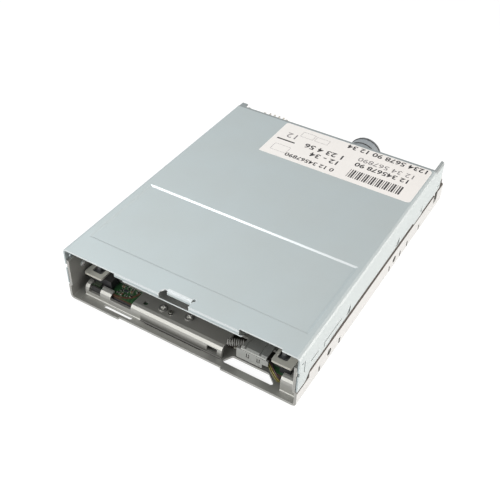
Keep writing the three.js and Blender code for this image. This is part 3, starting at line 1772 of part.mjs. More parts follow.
function switchHousing(place) {
  const { front, back, notchFront, setBack, sideInset } = switchBody;
  const { base } = place;
  const left = place.left + sideInset;
  const right = place.left + place.width - sideInset;
  const baseLeft = place.left + base.inset;
  const baseRight = baseLeft + base.width;
  const notchRight = place.left + place.notchInset + place.notchWidth;
  return join([
    prismZ(switchShape(place, front + setBack, sideInset), switchLow, capLow),
    block(left, right, notchFront, back, switchLow, switchFloor),
    block(baseLeft, baseRight, base.front, base.back, motorBoard.top, switchFloor),
    block(notchRight, Math.max(baseRight, right), base.front, base.back, switchLow, capLow),
  ]);
}

function plungerBody(place) {
  const low = switchFloor + plungerTravel + fit;
  const notchLeft = place.left + place.notchInset;
  const notchRight = notchLeft + place.notchWidth;
  return join([
    block(notchLeft + fit, notchRight - fit, switchBody.notchFront + fit, switchBody.back,
      low, switchTop - plunger.baseDrop),
    turned([
      [0, low],
      [plunger.pin, low],
      [plunger.pin, plungerTop - plunger.pin / 2],
      [plunger.pin / 2, plungerTop],
      [0, plungerTop],
    ], plunger.sides, (notchLeft + notchRight) / 2, switchBody.back - plunger.pinBack - fit),
  ]);
}

function diskInHousing() {
  const x = across.diskIn;
  const y = spindleY + diskIn.behindSpindle;
  const body = block(x - diskIn.width / 2, x + diskIn.width / 2, y - diskIn.length / 2, y + diskIn.length / 2,
    motorBoard.top, diskIn.top);
  const bore = ring(x, y, diskIn.button + fit, plunger.sides);
  return cut(body, [prismZ(bore, pan.deckTop, diskIn.top + overrun)]);
}

function diskInPlunger() {
  const low = pan.deckTop + plungerTravel + fit;
  return turned([
    [0, low],
    [diskIn.button, low],
    [diskIn.button, plungerTop - diskIn.button / 2],
    [diskIn.button / 2, plungerTop],
    [0, plungerTop],
  ], plunger.sides, across.diskIn, spindleY + diskIn.behindSpindle);
}

function lampBody() {
  return block(across.lamp - lamp.width / 2, across.lamp + lamp.width / 2, lamp.front, lamp.back,
    motorBoard.top, motorBoard.top + lamp.height);
}

// Boards, chips and connectors

function mainBoardBody() {
  const { corner, notchDepth } = mainBoard;
  const half = mainBoardHalf;
  const notchHalf = mainBoard.notchWidth / 2;
  const shape = outline([
    [-half, mainBoardFront, corner],
    [-notchHalf, mainBoardFront],
    [-notchHalf, mainBoardFront + notchDepth, corner],
    [notchHalf, mainBoardFront + notchDepth, corner],
    [notchHalf, mainBoardFront],
    [half, mainBoardFront, corner],
    [half, mainBoardBack, corner],
    [-half, mainBoardBack, corner],
  ]);
  return cut(prismZ(shape, mainBoard.low, mainBoardTop), boardScrews.map(({ x, y }) => prismZ(
    ring(x, y, boardPost.bore, screw.sides),
    mainBoard.low - overrun,
    mainBoardTop + overrun,
  )));
}

function mainChipBody() {
  const half = mainChip.width / 2;
  const y = mainBoardFront + mainChip.behind;
  const x = across.mainChip;
  const shape = rectangle(x - half, x + half, y - half, y + half, mainChip.corner);
  return prismZ(shape, mainBoardTop, mainBoardTop + mainChip.height);
}

function stepperChipBody() {
  const { width, depth, height } = stepperChip;
  const y = mainBoardFront + stepperChip.behind;
  return block(across.stepperChip - width / 2, across.stepperChip + width / 2, y - depth / 2, y + depth / 2,
    mainBoardTop, mainBoardTop + height);
}

function motorChipBody() {
  const { width, depth, height } = motorChip;
  const x = (rotor.radius + motorBoardRight) / 2;
  const y = spindleY - motorChip.ahead;
  return block(
    x - width / 2,
    x + width / 2,
    y - depth / 2,
    y + depth / 2,
    motorBoardLow - height,
    motorBoardLow,
  );
}

function headerBody() {
  const half = (header.columns * header.pitch) / 2;
  const front = driveLength - header.inset;
  const shape = rectangle(front, front + header.depth, mainBoardTop, mainBoardTop + header.height);
  const bodies = [prismX(shape, across.header - half - header.margin, across.header + half + header.margin)];
  const tip = driveLength - header.tipInset;
  for (let row = 0; row < header.rows; row += 1) {
    for (let column = 0; column < header.columns; column += 1) {
      const x = across.header - half + header.pitch * (column + 1 / 2);
      const z = mainBoardTop + header.rowRise + header.pitch * row;
      bodies.push(block(x - pinSquare / 2, x + pinSquare / 2, front + pinSquare, tip, z, z + pinSquare));
    }
  }
  return join(bodies);
}

function powerBody() {
  const left = power.sideInset - halfWidth;
  const right = left + power.width;
  const front = driveLength - power.inset;
  const wall = front + power.wallDepth;
  const back = driveLength - power.backInset;
  const tip = driveLength - power.tipInset;
  const floorLow = mainBoardTop + power.floorRise;
  const floorTop = floorLow + power.floor;
  const earTopZ = floorLow + power.earHeight;
  const pinZ = floorLow + power.pinRise;
  const bodies = [
    block(left, right, front, wall, floorLow, floorLow + power.height),
    block(left, right, wall - fit, back, floorLow, floorTop),
    block(left, left + power.ear, wall - fit, back, floorLow, earTopZ),
    block(right - power.ear, right, wall - fit, back, floorLow, earTopZ),
    block(left, left + power.leg, front, wall, mainBoardTop, floorTop),
    block(right - power.leg, right, front, wall, mainBoardTop, floorTop),
  ];
  for (let pin = 0; pin < power.pins; pin += 1) {
    const x = (left + right) / 2 + power.pitch * (pin - (power.pins - 1) / 2);
    bodies.push(block(x - pinSquare / 2, x + pinSquare / 2, wall - pinSquare, tip, pinZ, pinZ + pinSquare));
  }
  return join(bodies);
}

// Screws, head up on their seat or head down under a board
function screwDown(x, y, seat, length) {
  return turned([
    [0, seat - length],
    [screw.shank, seat - length],
    [screw.shank, seat],
    [screw.head, seat],
    [screw.head, seat + screw.headHeight / 2],
    [screw.head - screw.headHeight / 2, seat + screw.headHeight],
    [0, seat + screw.headHeight],
  ], screw.sides, x, y);
}

function screwUp(x, y, seat, length) {
  const low = seat - screw.headHeight;
  return turned([
    [0, low],
    [screw.head - screw.headHeight / 2, low],
    [screw.head, low + screw.headHeight / 2],
    [screw.head, seat],
    [screw.shank, seat],
    [screw.shank, seat + length],
    [0, seat + length],
  ], screw.sides, x, y);
}

// Everything in its place

piece('chassis', chassis(), finishes.frameSteel);
piece('top_cover', topCover(), finishes.coverSteel);

piece('motor_board', motorBoardBody(), finishes.board);
piece('spindle_bearing', bearingBody(), finishes.brass);
piece('stator', statorBody(), finishes.copper);
piece('motor_driver_chip', motorChipBody(), finishes.black);
piece('rotor_cup', rotorBody(), finishes.darkSteel);
piece('ring_magnet', magnetBody(), finishes.magnet);
piece('spindle_shaft', shaftBody(), finishes.brightSteel);
piece('hub_table', hubTableBody(), finishes.darkSteel);
piece('drive_pin', drivePinBody(), finishes.brightSteel);

piece('slide_plate', slideBody(), finishes.darkSteel);
piece('eject_spring', springBody(), finishes.brightSteel);
['left', 'right'].forEach((name, side) => guidePlaces().forEach((y, index) => {
  const x = (side ? 1 : -1) * (halfWidth - guide.inset);
  piece(`slide_guide_${name}_${index + 1}`, guideBody(x, y), finishes.brightSteel);
}));

piece('disk_holder', holderBody(), finishes.darkSteel);
const leverGroup = new THREE.Group();
leverGroup.position.set(lever.x, leverY, 0);
leverGroup.rotation.z = THREE.MathUtils.degToRad(lever.restAngle);
drive.add(leverGroup);
piece('shutter_lever', leverBody(), finishes.greyPlastic, leverGroup);

piece('head_carriage', carriageBody(), finishes.greyPlastic);
piece('lower_head', lowerHeadBody(), finishes.ceramic);
piece('arm_pivot_pin', prismX(ring(armPivotY, arm.pivotZ, arm.pin, 12), carriage.left, carriageRight),
  finishes.brightSteel);
piece('follower_pin', prismX(ring(followerY, stepperZ, follower.radius, 12), carriageRight + 2 * fit,
  stepper.x - thread.crest - follower.tip), finishes.brass);
const armGroup = new THREE.Group();
armGroup.position.set(0, armPivotY, arm.pivotZ);
armGroup.rotation.x = -armTilt;
drive.add(armGroup);
piece('upper_arm', upperArmBody(), finishes.darkSteel, armGroup);
piece('upper_head', upperHeadBody(), finishes.ceramic, armGroup);

piece('stepper_motor', stepperBody(), finishes.motorCan);
piece('stepper_bracket', bracketBody(), finishes.frameSteel);
piece('lead_screw', leadScrewBody(), finishes.brightSteel);
piece('lead_screw_bearing', endBearingBody(), finishes.greyPlastic);
piece('guide_rod_left', rodBody(rod.leftX, leftRodFront, leftLugBack + rod.tail), finishes.brightSteel);
piece('guide_rod_right', rodBody(rod.rightX, rightRodFront, rightLugBack + rod.tail), finishes.brightSteel);
[
  [rod.leftX, leftRodFront],
  [rod.leftX, leftLugBack + rod.tail - rodClip.length],
  [rod.rightX, rightRodFront],
  [rod.rightX, rightLugBack + rod.tail - rodClip.length],
].forEach(([x, from], index) => piece(`rod_clip_${index + 1}`, clipBody(x, from), finishes.frameSteel));
piece('track_zero_sensor', sensorBody(), finishes.black);

piece('write_protect_switch', switchHousing(writeProtect), finishes.black);
piece('write_protect_cap', switchCap(writeProtect), finishes.ivory);
piece('write_protect_plunger', plungerBody(writeProtect), finishes.greyPlastic);
piece('density_switch', switchHousing(density), finishes.black);
piece('density_cap', switchCap(density), finishes.ivory);
piece('density_plunger', plungerBody(density), finishes.greyPlastic);
piece('disk_in_switch', diskInHousing(), finishes.black);
piece('disk_in_plunger', diskInPlunger(), finishes.ivory);
piece('activity_lamp', lampBody(), finishes.lamp);

piece('main_board', mainBoardBody(), finishes.board);
piece('main_chip', mainChipBody(), finishes.black);
piece('stepper_driver_chip', stepperChipBody(), finishes.black);
piece('interface_header', headerBody(), finishes.black);
piece('power_header', powerBody(), finishes.ivory);

motorScrews.forEach(({ x, y }, index) => {
  const shaped = screwDown(x, y, pan.deckTop, pan.deckTop - motorBoardLow);
  piece(`motor_screw_${index + 1}`, shaped, finishes.brightSteel);
});
piece('locating_pin', turned([
  [0, motorBoardLow],
  [locatingPin.radius, motorBoardLow],
  [locatingPin.radius, pan.deckTop + locatingPin.rise],
  [0, pan.deckTop + locatingPin.rise],
], screw.sides, locatingPin.x, locatingPin.y), finishes.brightSteel);
boardScrews.forEach(({ x, y }, index) => {
  piece(`board_screw_${index + 1}`, screwUp(x, y, mainBoard.low, mainBoard.thickness + pan.sheet),
    finishes.brightSteel);
});
bracketScrews().forEach(({ x, y }, index) => {
  piece(`bracket_screw_${index + 1}`, screwDown(x, y, pan.deckTop + bracket.sheet, bracket.sheet - fit / 2),
    finishes.brightSteel);
});

export default drive;
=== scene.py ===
import json
import math

import bpy
import numpy as np
from mathutils import Matrix, Vector

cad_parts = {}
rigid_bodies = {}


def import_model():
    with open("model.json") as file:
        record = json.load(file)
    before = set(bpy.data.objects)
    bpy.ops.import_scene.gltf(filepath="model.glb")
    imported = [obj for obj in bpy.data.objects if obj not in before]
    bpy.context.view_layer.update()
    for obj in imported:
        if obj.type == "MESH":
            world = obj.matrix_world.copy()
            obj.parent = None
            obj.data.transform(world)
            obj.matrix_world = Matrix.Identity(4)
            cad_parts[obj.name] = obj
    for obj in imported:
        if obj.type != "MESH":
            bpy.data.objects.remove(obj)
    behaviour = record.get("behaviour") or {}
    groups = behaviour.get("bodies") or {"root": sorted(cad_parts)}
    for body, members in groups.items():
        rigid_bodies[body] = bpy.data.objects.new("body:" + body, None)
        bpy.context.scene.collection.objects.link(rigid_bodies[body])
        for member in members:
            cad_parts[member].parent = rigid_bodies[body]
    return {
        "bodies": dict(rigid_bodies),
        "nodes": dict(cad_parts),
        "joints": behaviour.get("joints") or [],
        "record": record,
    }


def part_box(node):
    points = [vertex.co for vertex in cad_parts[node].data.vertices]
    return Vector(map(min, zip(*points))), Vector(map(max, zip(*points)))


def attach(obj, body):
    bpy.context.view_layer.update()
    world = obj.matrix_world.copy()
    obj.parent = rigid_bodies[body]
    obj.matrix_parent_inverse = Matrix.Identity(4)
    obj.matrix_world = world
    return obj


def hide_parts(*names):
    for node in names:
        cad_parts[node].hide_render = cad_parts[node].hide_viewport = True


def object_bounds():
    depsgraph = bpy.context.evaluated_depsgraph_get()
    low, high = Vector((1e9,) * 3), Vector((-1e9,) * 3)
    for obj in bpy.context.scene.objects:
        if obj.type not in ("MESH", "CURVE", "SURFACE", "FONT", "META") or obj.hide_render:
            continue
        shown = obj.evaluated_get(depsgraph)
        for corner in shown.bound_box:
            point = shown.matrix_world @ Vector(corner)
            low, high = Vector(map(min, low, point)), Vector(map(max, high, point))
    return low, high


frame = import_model()
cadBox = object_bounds()
nodes = frame["nodes"]
slotOf = {part["node"]: part["material_slot"] for part in frame["record"]["subparts"]}
print("frame loaded:", len(nodes), "nodes")

# Camera: turned about the drive's middle, seen from its front right
view = dict(azimuth=29.94, elevation=41.22, roll=1.79, distance=0.3121,
            target=(0.0017, -0.0200, 0.0127), focalPixels=773.7, imagePixels=500, sensor=36.0, clipStart=0.01)


def makeCamera():
    az, el, roll = (math.radians(view[key]) for key in ("azimuth", "elevation", "roll"))
    back = Vector((math.sin(az) * math.cos(el), -math.cos(az) * math.cos(el), math.sin(el)))
    right = Vector((math.cos(az), math.sin(az), 0))
    up = back.cross(right)
    tiltedRight = right * math.cos(roll) + up * math.sin(roll)
    tiltedUp = up * math.cos(roll) - right * math.sin(roll)
    data = bpy.data.cameras.new("camera")
    data.sensor_width = view["sensor"]
    data.lens = view["sensor"] * view["focalPixels"] / view["imagePixels"]
    data.clip_start = view["clipStart"]
    camera = bpy.data.objects.new("camera", data)
    bpy.context.scene.collection.objects.link(camera)
    turn = Matrix((tiltedRight, tiltedUp, back)).transposed().to_4x4()
    camera.matrix_world = Matrix.Translation(Vector(view["target"]) + back * view["distance"]) @ turn
    bpy.context.scene.camera = camera


makeCamera()
bpy.context.scene.view_settings.view_transform = "Standard"
print("camera set")


# Nodes: an input takes a value, or a link where the value is another node's socket
def fill(tree, socket, value):
    if isinstance(value, bpy.types.NodeSocket):
        tree.links.new(value, socket)
    else:
        socket.default_value = value


def addNode(tree, kind, inputs=(), **settings):
    node = tree.nodes.new(kind)
    for name, value in settings.items():
        setattr(node, name, value)
    for key, value in dict(inputs).items():
        fill(tree, node.inputs[key], value)
    return node


def mathNode(tree, operation, *values, clamp=False):
    node = addNode(tree, "ShaderNodeMath", enumerate(values), operation=operation, use_clamp=clamp)
    return node.outputs[0]


def vectorNode(tree, operation, first, second):
    place = "Scale" if operation == "SCALE" else 1
    node = addNode(tree, "ShaderNodeVectorMath", {0: first, place: second}, operation=operation)
    return node.outputs["Value" if operation == "DOT_PRODUCT" else "Vector"]


def noiseNode(tree, vector, scale, detail=2.0):
    return addNode(tree, "ShaderNodeTexNoise", dict(Vector=vector, Scale=scale, Detail=detail)).outputs["Fac"]


# A mix node numbers its inputs: 0 is the factor, 2 and 3 are its values, 6 and 7 its colours
def mixColour(tree, factor, first, second):
    return addNode(tree, "ShaderNodeMix", {0: factor, 6: first, 7: second}, data_type="RGBA").outputs[2]


def mixValue(tree, factor, first, second):
    return addNode(tree, "ShaderNodeMix", {0: factor, 2: first, 3: second}, data_type="FLOAT").outputs[0]


def objectPlace(tree):
    return tree.nodes.new("ShaderNodeTexCoord").outputs["Object"]


def axisSocket(tree, axis, kind="Object"):
    source = objectPlace(tree) if kind == "Object" else tree.nodes.new("ShaderNodeNewGeometry").outputs["Normal"]
    return addNode(tree, "ShaderNodeSeparateXYZ", {0: source}).outputs[axis]


# Light: a soft key low on the right, a weak front light and a sheet of light high behind the left, in a white room that
# is brighter to the eye than as a light
lights = dict(
    keyLight=dict(place=(0.55, 0.05, 0.10), size=0.36, power=5.0, colour=(1.0, 0.89, 0.83)),
    frontLight=dict(place=(-0.12, -0.36, 0.24), size=0.30, power=1.1, colour=(1.0, 0.99, 0.97)),
    rearLight=dict(place=(-0.23, 0.03, 0.38), size=0.20, power=0.72, colour=(0.99, 0.99, 1.0)),
)
room = dict(shown=1.0, lit=0.2, floorHalf=6.0, floorGap=0.00005, floorGlow=0.88, floorCloth=0.22, floorPlain=0.8)


def grey(level):
    return (level, level, level, 1)


# 1 for what the camera sees, straight on, in a mirror or through glass, and 0 for what only lights the drive
def seenDirectly(tree):
    path = tree.nodes.new("ShaderNodeLightPath").outputs
    mirrored = mathNode(tree, "MAXIMUM", path["Is Camera Ray"], path["Is Glossy Ray"])
    return mathNode(tree, "MAXIMUM", mirrored, path["Is Transmission Ray"])


def makeWorld():
    world = bpy.data.worlds.new("room")
    world.use_nodes = True
    tree = world.node_tree
    tree.nodes.clear()
    shown, lit = (addNode(tree, "ShaderNodeBackground", dict(Color=grey(1), Strength=room[key])).outputs[0]
                  for key in ("shown", "lit"))
    mix = addNode(tree, "ShaderNodeMixShader", {0: seenDirectly(tree), 1: lit, 2: shown})
    addNode(tree, "ShaderNodeOutputWorld", dict(Surface=mix.outputs[0]))
    bpy.context.scene.world = world


def makeLight(name, values):
    data = bpy.data.lights.new(name, "AREA")
    data.size = values["size"]
    data.energy = values["power"]
    data.color = values["colour"]
    light = bpy.data.objects.new(name, data)
    bpy.context.scene.collection.objects.link(light)
    place = Vector(values["place"])
    light.matrix_world = Matrix.Translation(place) @ place.to_track_quat("Z", "Y").to_matrix().to_4x4()


# The floor glows for the eye, is plain for the light, and isn't there from below
def makeFloor():
    half, low = room["floorHalf"], -room["floorGap"]
    mesh = bpy.data.meshes.new("floor")
    corners = [(-half, -half, low), (half, -half, low), (half, half, low), (-half, half, low)]
    mesh.from_pydata(corners, [], [(0, 1, 2, 3)])
    floor = bpy.data.objects.new("floor", mesh)
    bpy.context.scene.collection.objects.link(floor)
    material = bpy.data.materials.new("floor")
    material.use_nodes = True
    tree = material.node_tree
    tree.nodes.clear()
    glow = addNode(tree, "ShaderNodeEmission", dict(Color=grey(1), Strength=room["floorGlow"])).outputs[0]
    cloth, plain = (addNode(tree, "ShaderNodeBsdfDiffuse", dict(Color=grey(room[key]))).outputs[0]
                    for key in ("floorCloth", "floorPlain"))
    shown = addNode(tree, "ShaderNodeAddShader", {0: glow, 1: cloth}).outputs[0]
    top = addNode(tree, "ShaderNodeMixShader", {0: seenDirectly(tree), 1: plain, 2: shown}).outputs[0]
    below = tree.nodes.new("ShaderNodeNewGeometry").outputs["Backfacing"]
    clear = tree.nodes.new("ShaderNodeBsdfTransparent").outputs[0]
    both = addNode(tree, "ShaderNodeMixShader", {0: below, 1: top, 2: clear}).outputs[0]
    addNode(tree, "ShaderNodeOutputMaterial", dict(Surface=both))
    mesh.materials.append(material)


makeWorld()
for name, values in lights.items():
    makeLight(name, values)
makeFloor()
print("room lit")


# Colours are noted as the eye reads them, 0 to 255, and made linear here
def linear(colour):
    share = np.asarray(colour, float) / 255
    straight = np.where(share <= 0.04045, share / 12.92, ((share + 0.055) / 1.055) ** 2.4)
    return tuple(straight) + (1.0,)


# A group's inputs come with their first values: a number, a vector of three or a colour of four
def socketGroup(name, inputs, outputs):
    group = bpy.data.node_groups.new(name, "ShaderNodeTree")
    kinds = {3: "NodeSocketVector", 4: "NodeSocketColor"}
    for label, value in inputs.items():
        kind = "NodeSocketFloat" if isinstance(value, float) else kinds[len(value)]
        group.interface.new_socket(name=label, in_out="INPUT", socket_type=kind).default_value = value
    for label in outputs:
        kind = "NodeSocketColor" if label == "Color" else "NodeSocketFloat"
        group.interface.new_socket(name=label, in_out="OUTPUT", socket_type=kind)
    return group, group.nodes.new("NodeGroupInput").outputs, group.nodes.new("NodeGroupOutput").inputs


# Patterns: noise scales are repeats in a metre. Patches of dust are the noise times a gain, with an offset. An edge
# without a colour of its own is lighter than its finish by the lift, as wear and as a painted highlight
noise = dict(chips=700.0, blotches=55.0, pits=2600.0, clouds=140.0)
dust = dict(gain=2.2, offset=-0.7, colour=(168, 164, 154), rougher=0.4)
edgeLift = 26
streakHeight = 0.6


# Noise runs from 0 to 1, and here it lies evenly about 0
def centred(tree, value):
    return mathNode(tree, "SUBTRACT", value, 0.5)


# Edge wear and painted edge highlight: how far the normal of a slightly rounded edge turns from the flat one, broken up
# by noise
def makeEdgeWearAndHighlightGroup():
    group, given, out = socketGroup("edgeWear", dict(Radius=0.00025, Gain=4.0, Chips=0.4), ["Mask"])
    rounded = addNode(group, "ShaderNodeBevel", dict(Radius=given["Radius"]), samples=4).outputs[0]
    flat = group.nodes.new("ShaderNodeNewGeometry").outputs["Normal"]
    turn = mathNode(group, "SUBTRACT", 1.0, vectorNode(group, "DOT_PRODUCT", rounded, flat))
    chips = centred(group, noiseNode(group, objectPlace(group), noise["chips"], detail=3))
    kept = mathNode(group, "MULTIPLY_ADD", chips, given["Chips"], turn)
    mask = mathNode(group, "MULTIPLY", mathNode(group, "MULTIPLY", turn, given["Gain"]), kept)
    fill(group, out["Mask"], mathNode(group, "MULTIPLY_ADD", turn, given["Gain"], mask, clamp=True))
    return group


# Dust: settles on faces that look up, in soft patches
def makeDustGroup():
    group, given, out = socketGroup("settledDust", dict(Amount=0.2, PatchScale=45.0), ["Mask"])
    patches = noiseNode(group, objectPlace(group), given["PatchScale"], detail=6)
    risen = mathNode(group, "MULTIPLY_ADD", patches, dust["gain"], dust["offset"], clamp=True)
    facing = mathNode(group, "MAXIMUM", axisSocket(group, "Z", "Normal"), 0.0)
    settled = mathNode(group, "MULTIPLY", risen, facing)
    fill(group, out["Mask"], mathNode(group, "MULTIPLY", settled, given["Amount"], clamp=True))
    return group


# Both surface groups put out their tone times a pattern, and their roughness moved by the same soft pattern
def fillSurface(group, given, out, tone, soft, height):
    fill(group, out["Color"], vectorNode(group, "SCALE", given["Tone"], tone))
    fill(group, out["Roughness"], mathNode(group, "MULTIPLY_ADD", soft, given["Spread"], given["Roughness"]))
    fill(group, out["Height"], height)
    return group


# Rolled sheet: long faint streaks, soft blotches and fine pits
def makeRolledGroup():
    group, given, out = socketGroup("rolledSheet", dict(
        Tone=(0.6, 0.6, 0.6, 1), Stretch=(1, 1, 1), StreakScale=900.0, Streaks=0.06, Blotches=0.06, Roughness=0.35,
        Spread=0.1), ["Color", "Roughness", "Height"])
    place = objectPlace(group)
    stretched = vectorNode(group, "MULTIPLY", place, given["Stretch"])
    streak = centred(group, noiseNode(group, stretched, given["StreakScale"], detail=4))
    blotch = centred(group, noiseNode(group, place, noise["blotches"], detail=5))
    tone = mathNode(group, "MULTIPLY_ADD", streak, given["Streaks"], 1.0)
    tone = mathNode(group, "MULTIPLY_ADD", blotch, given["Blotches"], tone)
    height = mathNode(group, "MULTIPLY_ADD", streak, streakHeight, noiseNode(group, place, noise["pits"]))
    return fillSurface(group, given, out, tone, blotch, height)


# Moulded surface: faint speckle and an even orange-peel skin
def makeMouldedGroup():
    group, given, out = socketGroup("mouldedSurface", dict(
        Tone=(0.5, 0.5, 0.5, 1), GrainScale=1800.0, Speckle=0.05, Roughness=0.5, Spread=0.08),
        ["Color", "Roughness", "Height"])
    place = objectPlace(group)
    grain = noiseNode(group, place, given["GrainScale"], detail=3)
    cloud = centred(group, noiseNode(group, place, noise["clouds"]))
    tone = mathNode(group, "MULTIPLY_ADD", centred(group, grain), given["Speckle"], 1.0)
    tone = mathNode(group, "MULTIPLY_ADD", cloud, given["Speckle"], tone)
    return fillSurface(group, given, out, tone, cloud, grain)


edgeWearAndHighlightGroup = makeEdgeWearAndHighlightGroup()
dustGroup = makeDustGroup()
rolledGroup = makeRolledGroup()
mouldedGroup = makeMouldedGroup()


def placeGroup(tree, group, **inputs):
    return addNode(tree, "ShaderNodeGroup", inputs, node_tree=group).outputs


# A finish is a surface group with its values, the colour of its edges, lighter by wear and by a painted highlight, and
# how metallic it is
def makeFinish(group, colour, edge, metal, **inputs):
    edge = edge or tuple(min(255, part + edgeLift) for part in colour)
    return dict(group=group, edge=linear(edge), metal=metal, inputs=dict(inputs, Tone=linear(colour)))


def rolled(colour, rough, metal, edge=None, stretch=(1, 12, 1), scale=900.0, streaks=0.08, blotches=0.08):
    return makeFinish(rolledGroup, colour, edge, metal, Stretch=stretch, StreakScale=scale, Streaks=streaks,
                      Blotches=blotches, Roughness=rough)


def moulded(colour, rough, edge=None, scale=1800.0, speckle=0.06):
    return makeFinish(mouldedGroup, colour, edge, 0.0, GrainScale=scale, Speckle=speckle, Roughness=rough)


def finishSockets(tree, finish):
    skin = placeGroup(tree, finish["group"], **finish["inputs"])
    # Edges take their lighter colour as wear and as a painted highlight
    worn = placeGroup(tree, edgeWearAndHighlightGroup)["Mask"]
    return mixColour(tree, worn, skin["Color"], finish["edge"]), skin["Roughness"], skin["Height"]


# One finish, or two parted by a mask: the second shows where the mask is 1
def makeMaterial(name, finish, second=None, mask=None, coat=0.0, dusty=0.12, bump=0.000003):
    material = bpy.data.materials.new(name)
    material.use_nodes = True
    tree = material.node_tree
    tone, roughness, height = finishSockets(tree, finish)
    metallic = finish["metal"]
    if second:
        part = mask(tree)
        otherTone, otherRoughness, otherHeight = finishSockets(tree, second)
        tone = mixColour(tree, part, tone, otherTone)
        roughness = mixValue(tree, part, roughness, otherRoughness)
        height = mixValue(tree, part, height, otherHeight)
        metallic = mixValue(tree, part, metallic, second["metal"])
    settled = placeGroup(tree, dustGroup, Amount=dusty)["Mask"]
    bumped = addNode(tree, "ShaderNodeBump", dict(Height=height, Distance=bump)).outputs[0]
    shader = tree.nodes["Principled BSDF"].inputs
    fill(tree, shader["Base Color"], mixColour(tree, settled, tone, linear(dust["colour"])))
    fill(tree, shader["Roughness"], mathNode(tree, "MULTIPLY_ADD", settled, dust["rougher"], roughness))
    fill(tree, shader["Metallic"], metallic)
    fill(tree, shader["Coat Weight"], coat)
    fill(tree, shader["Normal"], bumped)
    return material


# Lays a colour over a material's tone, by the share that a mask gives
def overlay(material, mask, colour):
    tree = material.node_tree
    tone = tree.nodes["Principled BSDF"].inputs["Base Color"]
    tree.links.new(mixColour(tree, mask(tree), tone.links[0].from_socket, colour), tone)
    return material


frontEdge = cadBox[0][1]


# A place is noted in millimetres, its depth counted back from the front edge of the frame
def metres(places):
    places = np.array(places, float) * 0.001
    places[..., 1] += frontEdge
    return places


# The same the other way: the two corners of a part's box
def boxOf(node):
    return [np.array(corner) * 1000 - (0, frontEdge * 1000, 0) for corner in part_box(node)]


# What a mask can test: a place, the size of x, a normal, how level a face lies, and how far it points away from the
# middle plane
measures = dict(
    x=lambda tree: axisSocket(tree, "X"),
    depth=lambda tree: axisSocket(tree, "Y"),
    z=lambda tree: axisSocket(tree, "Z"),
    sizeX=lambda tree: mathNode(tree, "ABSOLUTE", axisSocket(tree, "X")),
    normalY=lambda tree: axisSocket(tree, "Y", "Normal"),
    normalZ=lambda tree: axisSocket(tree, "Z", "Normal"),
    level=lambda tree: mathNode(tree, "ABSOLUTE", axisSocket(tree, "Z", "Normal")),
    outward=lambda tree: mathNode(tree, "MULTIPLY", mathNode(tree, "SIGN", axisSocket(tree, "X")),
                                  axisSocket(tree, "X", "Normal")),
)


# A limit of a place is noted in millimetres, like the places of pieces
def limitOf(name, limit):
    if name == "depth":
        return limit * 0.001 + frontEdge
    return limit * 0.001 if name in ("x", "z", "sizeX") else limit


# 1 where every measure lies between its low and its high limit. None leaves a side open
def within(**limits):
    def build(tree):
        held = None
        for name, pair in limits.items():
            value = measures[name](tree)
            for operation, limit in zip(("GREATER_THAN", "LESS_THAN"), pair):
                if limit is not None:
                    passed = mathNode(tree, operation, value, limitOf(name, limit))
                    held = passed if held is None else mathNode(tree, "MULTIPLY", held, passed)
        return held
    return build


def anyOf(*masks):
    def build(tree):
        total = masks[0](tree)
        for mask in masks[1:]:
            total = mathNode(tree, "MAXIMUM", total, mask(tree))
        return total
    return build


# 1 within reach of an upright axis, in millimetres
def nearAxis(centre, reach):
    def build(tree):
        sides = [mathNode(tree, "SUBTRACT", axisSocket(tree, axis), float(place))
                 for axis, place in zip("XY", metres(centre))]
        squares = [mathNode(tree, "MULTIPLY", side, side) for side in sides]
        return mathNode(tree, "LESS_THAN", mathNode(tree, "ADD", *squares), (reach * 0.001) ** 2)
    return build


# Tracks: lines at an even pitch that wander together, cut off by a coarse noise, running across in some patches
tracks = dict(pitch=0.00115, width=0.30, wander=0.012, wanderScale=95.0, patchScale=42.0, gapScale=160.0, gap=0.44)


def trackMask(tree):
    place = objectPlace(tree)
    wander = mathNode(tree, "MULTIPLY", noiseNode(tree, place, tracks["wanderScale"], detail=1), tracks["wander"])
    turned = mathNode(tree, "GREATER_THAN", noiseNode(tree, place, tracks["patchScale"], detail=0), 0.5)
    along = mixValue(tree, turned, axisSocket(tree, "X"), axisSocket(tree, "Y"))
    step = mathNode(tree, "DIVIDE", mathNode(tree, "ADD", along, wander), tracks["pitch"])
    inside = mathNode(tree, "ABSOLUTE", mathNode(tree, "SUBTRACT", mathNode(tree, "FRACT", step), 0.5))
    line = mathNode(tree, "LESS_THAN", inside, tracks["width"] / 2)
    kept = mathNode(tree, "GREATER_THAN", noiseNode(tree, place, tracks["gapScale"], detail=0), tracks["gap"])
    return mathNode(tree, "MULTIPLY", line, kept)


even = (1, 1, 1)
coverSteel = rolled((176, 187, 189), rough=0.58, metal=0.35, edge=(216, 221, 221), stretch=(10, 1, 1), streaks=0.045,
                   blotches=0.05)
frameSteel = rolled((166, 166, 162), rough=0.5, metal=0.75, edge=(214, 214, 210))
slideSteel = rolled((166, 168, 165), rough=0.5, metal=0.75, edge=(214, 214, 210))
# Painted highlight: a lighter steel laid on front faces, a tab and a crease where light catches them
highlightSteel = rolled((208, 215, 217), rough=0.34, metal=0.3)
# Painted shade: a darker copy of the frame steel for the spring, which sits in shade
springSteel = rolled((150, 150, 147), rough=0.5, metal=0.55, edge=(166, 166, 163))
screwSteel = rolled((128, 128, 125), rough=0.48, metal=0.7, edge=(150, 150, 147), stretch=even)
